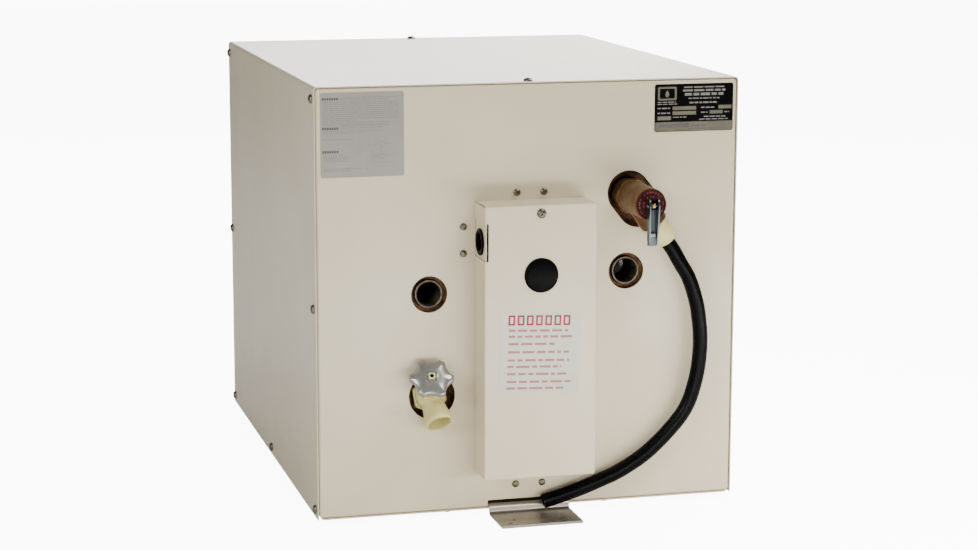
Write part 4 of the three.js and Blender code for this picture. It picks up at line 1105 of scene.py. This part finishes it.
# The wiring diagram that the photo shows on this label, simplified: each line's corners, then two diamonds.
WIRING = [
    [(36, 42.2), (53, 41.4), (56, 48)],
    [(69, 40.6), (64, 41), (61, 48)],
    [(36, 48), (36, 51), (41, 51)],
    [(36, 60), (36, 56), (41, 56)],
    [(47, 50), (53, 50)],
    [(65, 49.6), (71, 49.6), (71, 61), (65, 61)],
    [(47, 55.6), (49.5, 55.6), (49.5, 71.6), (70, 71), (70, 67), (52, 67.4), (52, 61), (54, 61)],
    [(45, 61), (45, 73)],
    [(42, 73), (48, 73)],
    [(43.4, 74.6), (46.6, 74.6)],
    [(58.4, 51), (58.4, 60)],
    [(60, 51), (60, 60)],
]
circuit = [stroke(*start, *end) for wire in WIRING for start, end in zip(wire, wire[1:])]
diamond = [(53, 0), (59, 2.2), (65, 0), (59, -2.2)]
for down in (50, 61.3):
    for (a0, b0), (a1, b1) in zip(diamond, diamond[1:] + diamond[:1]):
        circuit.append(stroke(a0, down + b0, a1, down + b1, 0.5))
print_marks("left_sticker_lines", fine, *left_box, 0, INK, "heater")
heads = [bar(1.8 + 2.3 * k, 3.6 + 2.3 * k, b, b + 2.4) for b in (5.0, 33.0, 55.2) for k in range(7)]
print_marks("left_sticker_heads", heads, *left_box, 0, DARK_INK, "heater")
print_marks("left_sticker_circuit", circuit, *left_box, 0, INK, "heater")

plate_box = (125.7, 207, 369.5, 416.2)
label("data_plate", *plate_box, 0, PLATE, "heater", "rating_plate", slot="label_black")
# Bare patches of foil, a frame and a plain drop in it.
silver = [bar(0.6, 80.7, 37.2, 46.1), bar(18.5, 43, 22.0, 25.6), bar(18.5, 43, 26.8, 30.4),
          bar(3, 17, 31.4, 35.2), bar(66, 79.6, 21.6, 25.2), bar(57, 70.6, 26.6, 30.0)]
outer, inner = rounded(3.2, 22.6, 2.6, 15.8, 1.6, 4), rounded(5.2, 20.6, 4.4, 14.0, 0.9, 4)
silver += [[outer[k - 1], outer[k], inner[k], inner[k - 1]] for k in [*range(1, len(outer)), 0]]
around = [TAU * k / 28 for k in range(28)]
silver.append([(12.9 + 2.6 * math.sin(a) * math.sin(a / 2) ** 0.8, 9.4 - 3.4 * math.cos(a)) for a in around])
print_marks("data_plate_foil", silver, *plate_box, 0, FOIL, "heater", slot="label_black")
# Lines of print, as the arguments of words.
PLATE_LINES = [
    (30, 72, 3.4, 1.3, 5, 4, 12, 1.2), (29, 73, 6.6, 1.9, 6, 4, 12, 1.4), (31, 71, 10.4, 2.6, 7, 5, 12, 1.6),
    (35, 67, 14.4, 1.2, 8), (36, 65, 18.6, 1.6, 9), (3, 22, 17.6, 0.9, 11), (3, 24, 19.6, 0.9, 12),
    (3, 16, 23.6, 1.3, 13), (3, 16, 28.4, 1.3, 14), (19, 33, 32.6, 1.0, 15), (48, 63, 23.6, 1.2, 16),
    (48, 55, 28.4, 1.2, 17), (72.5, 77.5, 28.4, 1.2, 18), (51, 74, 32.6, 1.2, 19), (46, 78, 35.2, 1.0, 20),
]
dim = [mark for line in PLATE_LINES for mark in words(*line)]
print_marks("data_plate_lines", dim, *plate_box, 0, PLATE_INK, "heater", slot="label_black")
on_foil = [bar(5, 36, 39.2, 42.6)] + words(38, 53, 41.4, 1.4, 21) + words(34, 73, 44.2, 1.0, 22)
# These lie on the foil, so they stand a little further out than the other marks.
pieces = [punch([(plate_box[0] + a, plate_box[3] - b) for a, b in marks], -0.34, -0.2) for marks in on_foil]
finish(join("data_plate_dark_lines", pieces), "heater", DARK_INK, bevel=0, slot="label_black")


# ---- floor and light ----
# The floor and the world are bright where the camera sees them and dim as light on the heater.
FLOOR_GLOW = 10
WORLD_LIGHT, WORLD_SEEN = 0.24, 11
floor_mesh = bpy.data.meshes.new("floor")
floor_mesh.from_pydata([(-6, -5, 0), (6, -5, 0), (6, 7, 0), (-6, 7, 0)], [], [(0, 1, 2, 3)])
floor = added("floor", floor_mesh)
floor.location.z = -0.0002
ground = bpy.data.materials.new("floor_paper")
ground.use_nodes = True
nodes, links = ground.node_tree.nodes, ground.node_tree.links
nodes["Principled BSDF"].inputs["Base Color"].default_value = (0.9, 0.9, 0.9, 1)
nodes["Principled BSDF"].inputs["Roughness"].default_value = 0.9
nodes["Principled BSDF"].inputs["Emission Color"].default_value = (1, 1, 1, 1)
seen = nodes.new("ShaderNodeLightPath")
glow = nodes.new("ShaderNodeMath")
glow.operation = "MULTIPLY"
glow.inputs[1].default_value = FLOOR_GLOW
links.new(seen.outputs["Is Camera Ray"], glow.inputs[0])
links.new(glow.outputs["Value"], nodes["Principled BSDF"].inputs["Emission Strength"])
floor.data.materials.append(ground)

world = bpy.data.worlds.new("studio")
bpy.context.scene.world = world
world.use_nodes = True
nodes, links = world.node_tree.nodes, world.node_tree.links
nodes["Background"].inputs["Color"].default_value = (1, 1, 1, 1)
seen = nodes.new("ShaderNodeLightPath")
level = nodes.new("ShaderNodeMapRange")
level.inputs["To Min"].default_value = WORLD_LIGHT
level.inputs["To Max"].default_value = WORLD_SEEN
links.new(seen.outputs["Is Camera Ray"], level.inputs["Value"])
links.new(level.outputs["Result"], nodes["Background"].inputs["Strength"])


def area_light(name, at, target, size, power, colour=(1, 1, 1)):
    light = bpy.data.lights.new(name, "AREA")
    light.shape = "RECTANGLE"
    light.size, light.size_y = size
    light.energy = power
    light.color = colour
    obj = added(name, light)
    obj.location = at
    obj.rotation_euler = (Vector(target) - Vector(at)).to_track_quat("-Z", "Y").to_euler()


area_light("key", (0.95, -0.85, 2.0), (0, 0, 0.2), (0.8, 0.6), 33)
area_light("second", (-1.6, -1.5, 1.0), (0, 0, 0.2), (0.8, 0.7), 26)
area_light("low_front", (0.2, -0.74, 0.1), (0, -0.25, 0.0), (0.9, 0.06), 3.4, (1, 0.98, 0.94))
area_light("top_right", (0.55, 0.1, 0.75), (0.2, 0.1, 0.42), (0.3, 0.3), 6)
area_light("back", (0.5, 2.2, 1.2), (0, 0.2, 0.2), (1.2, 0.9), 34)
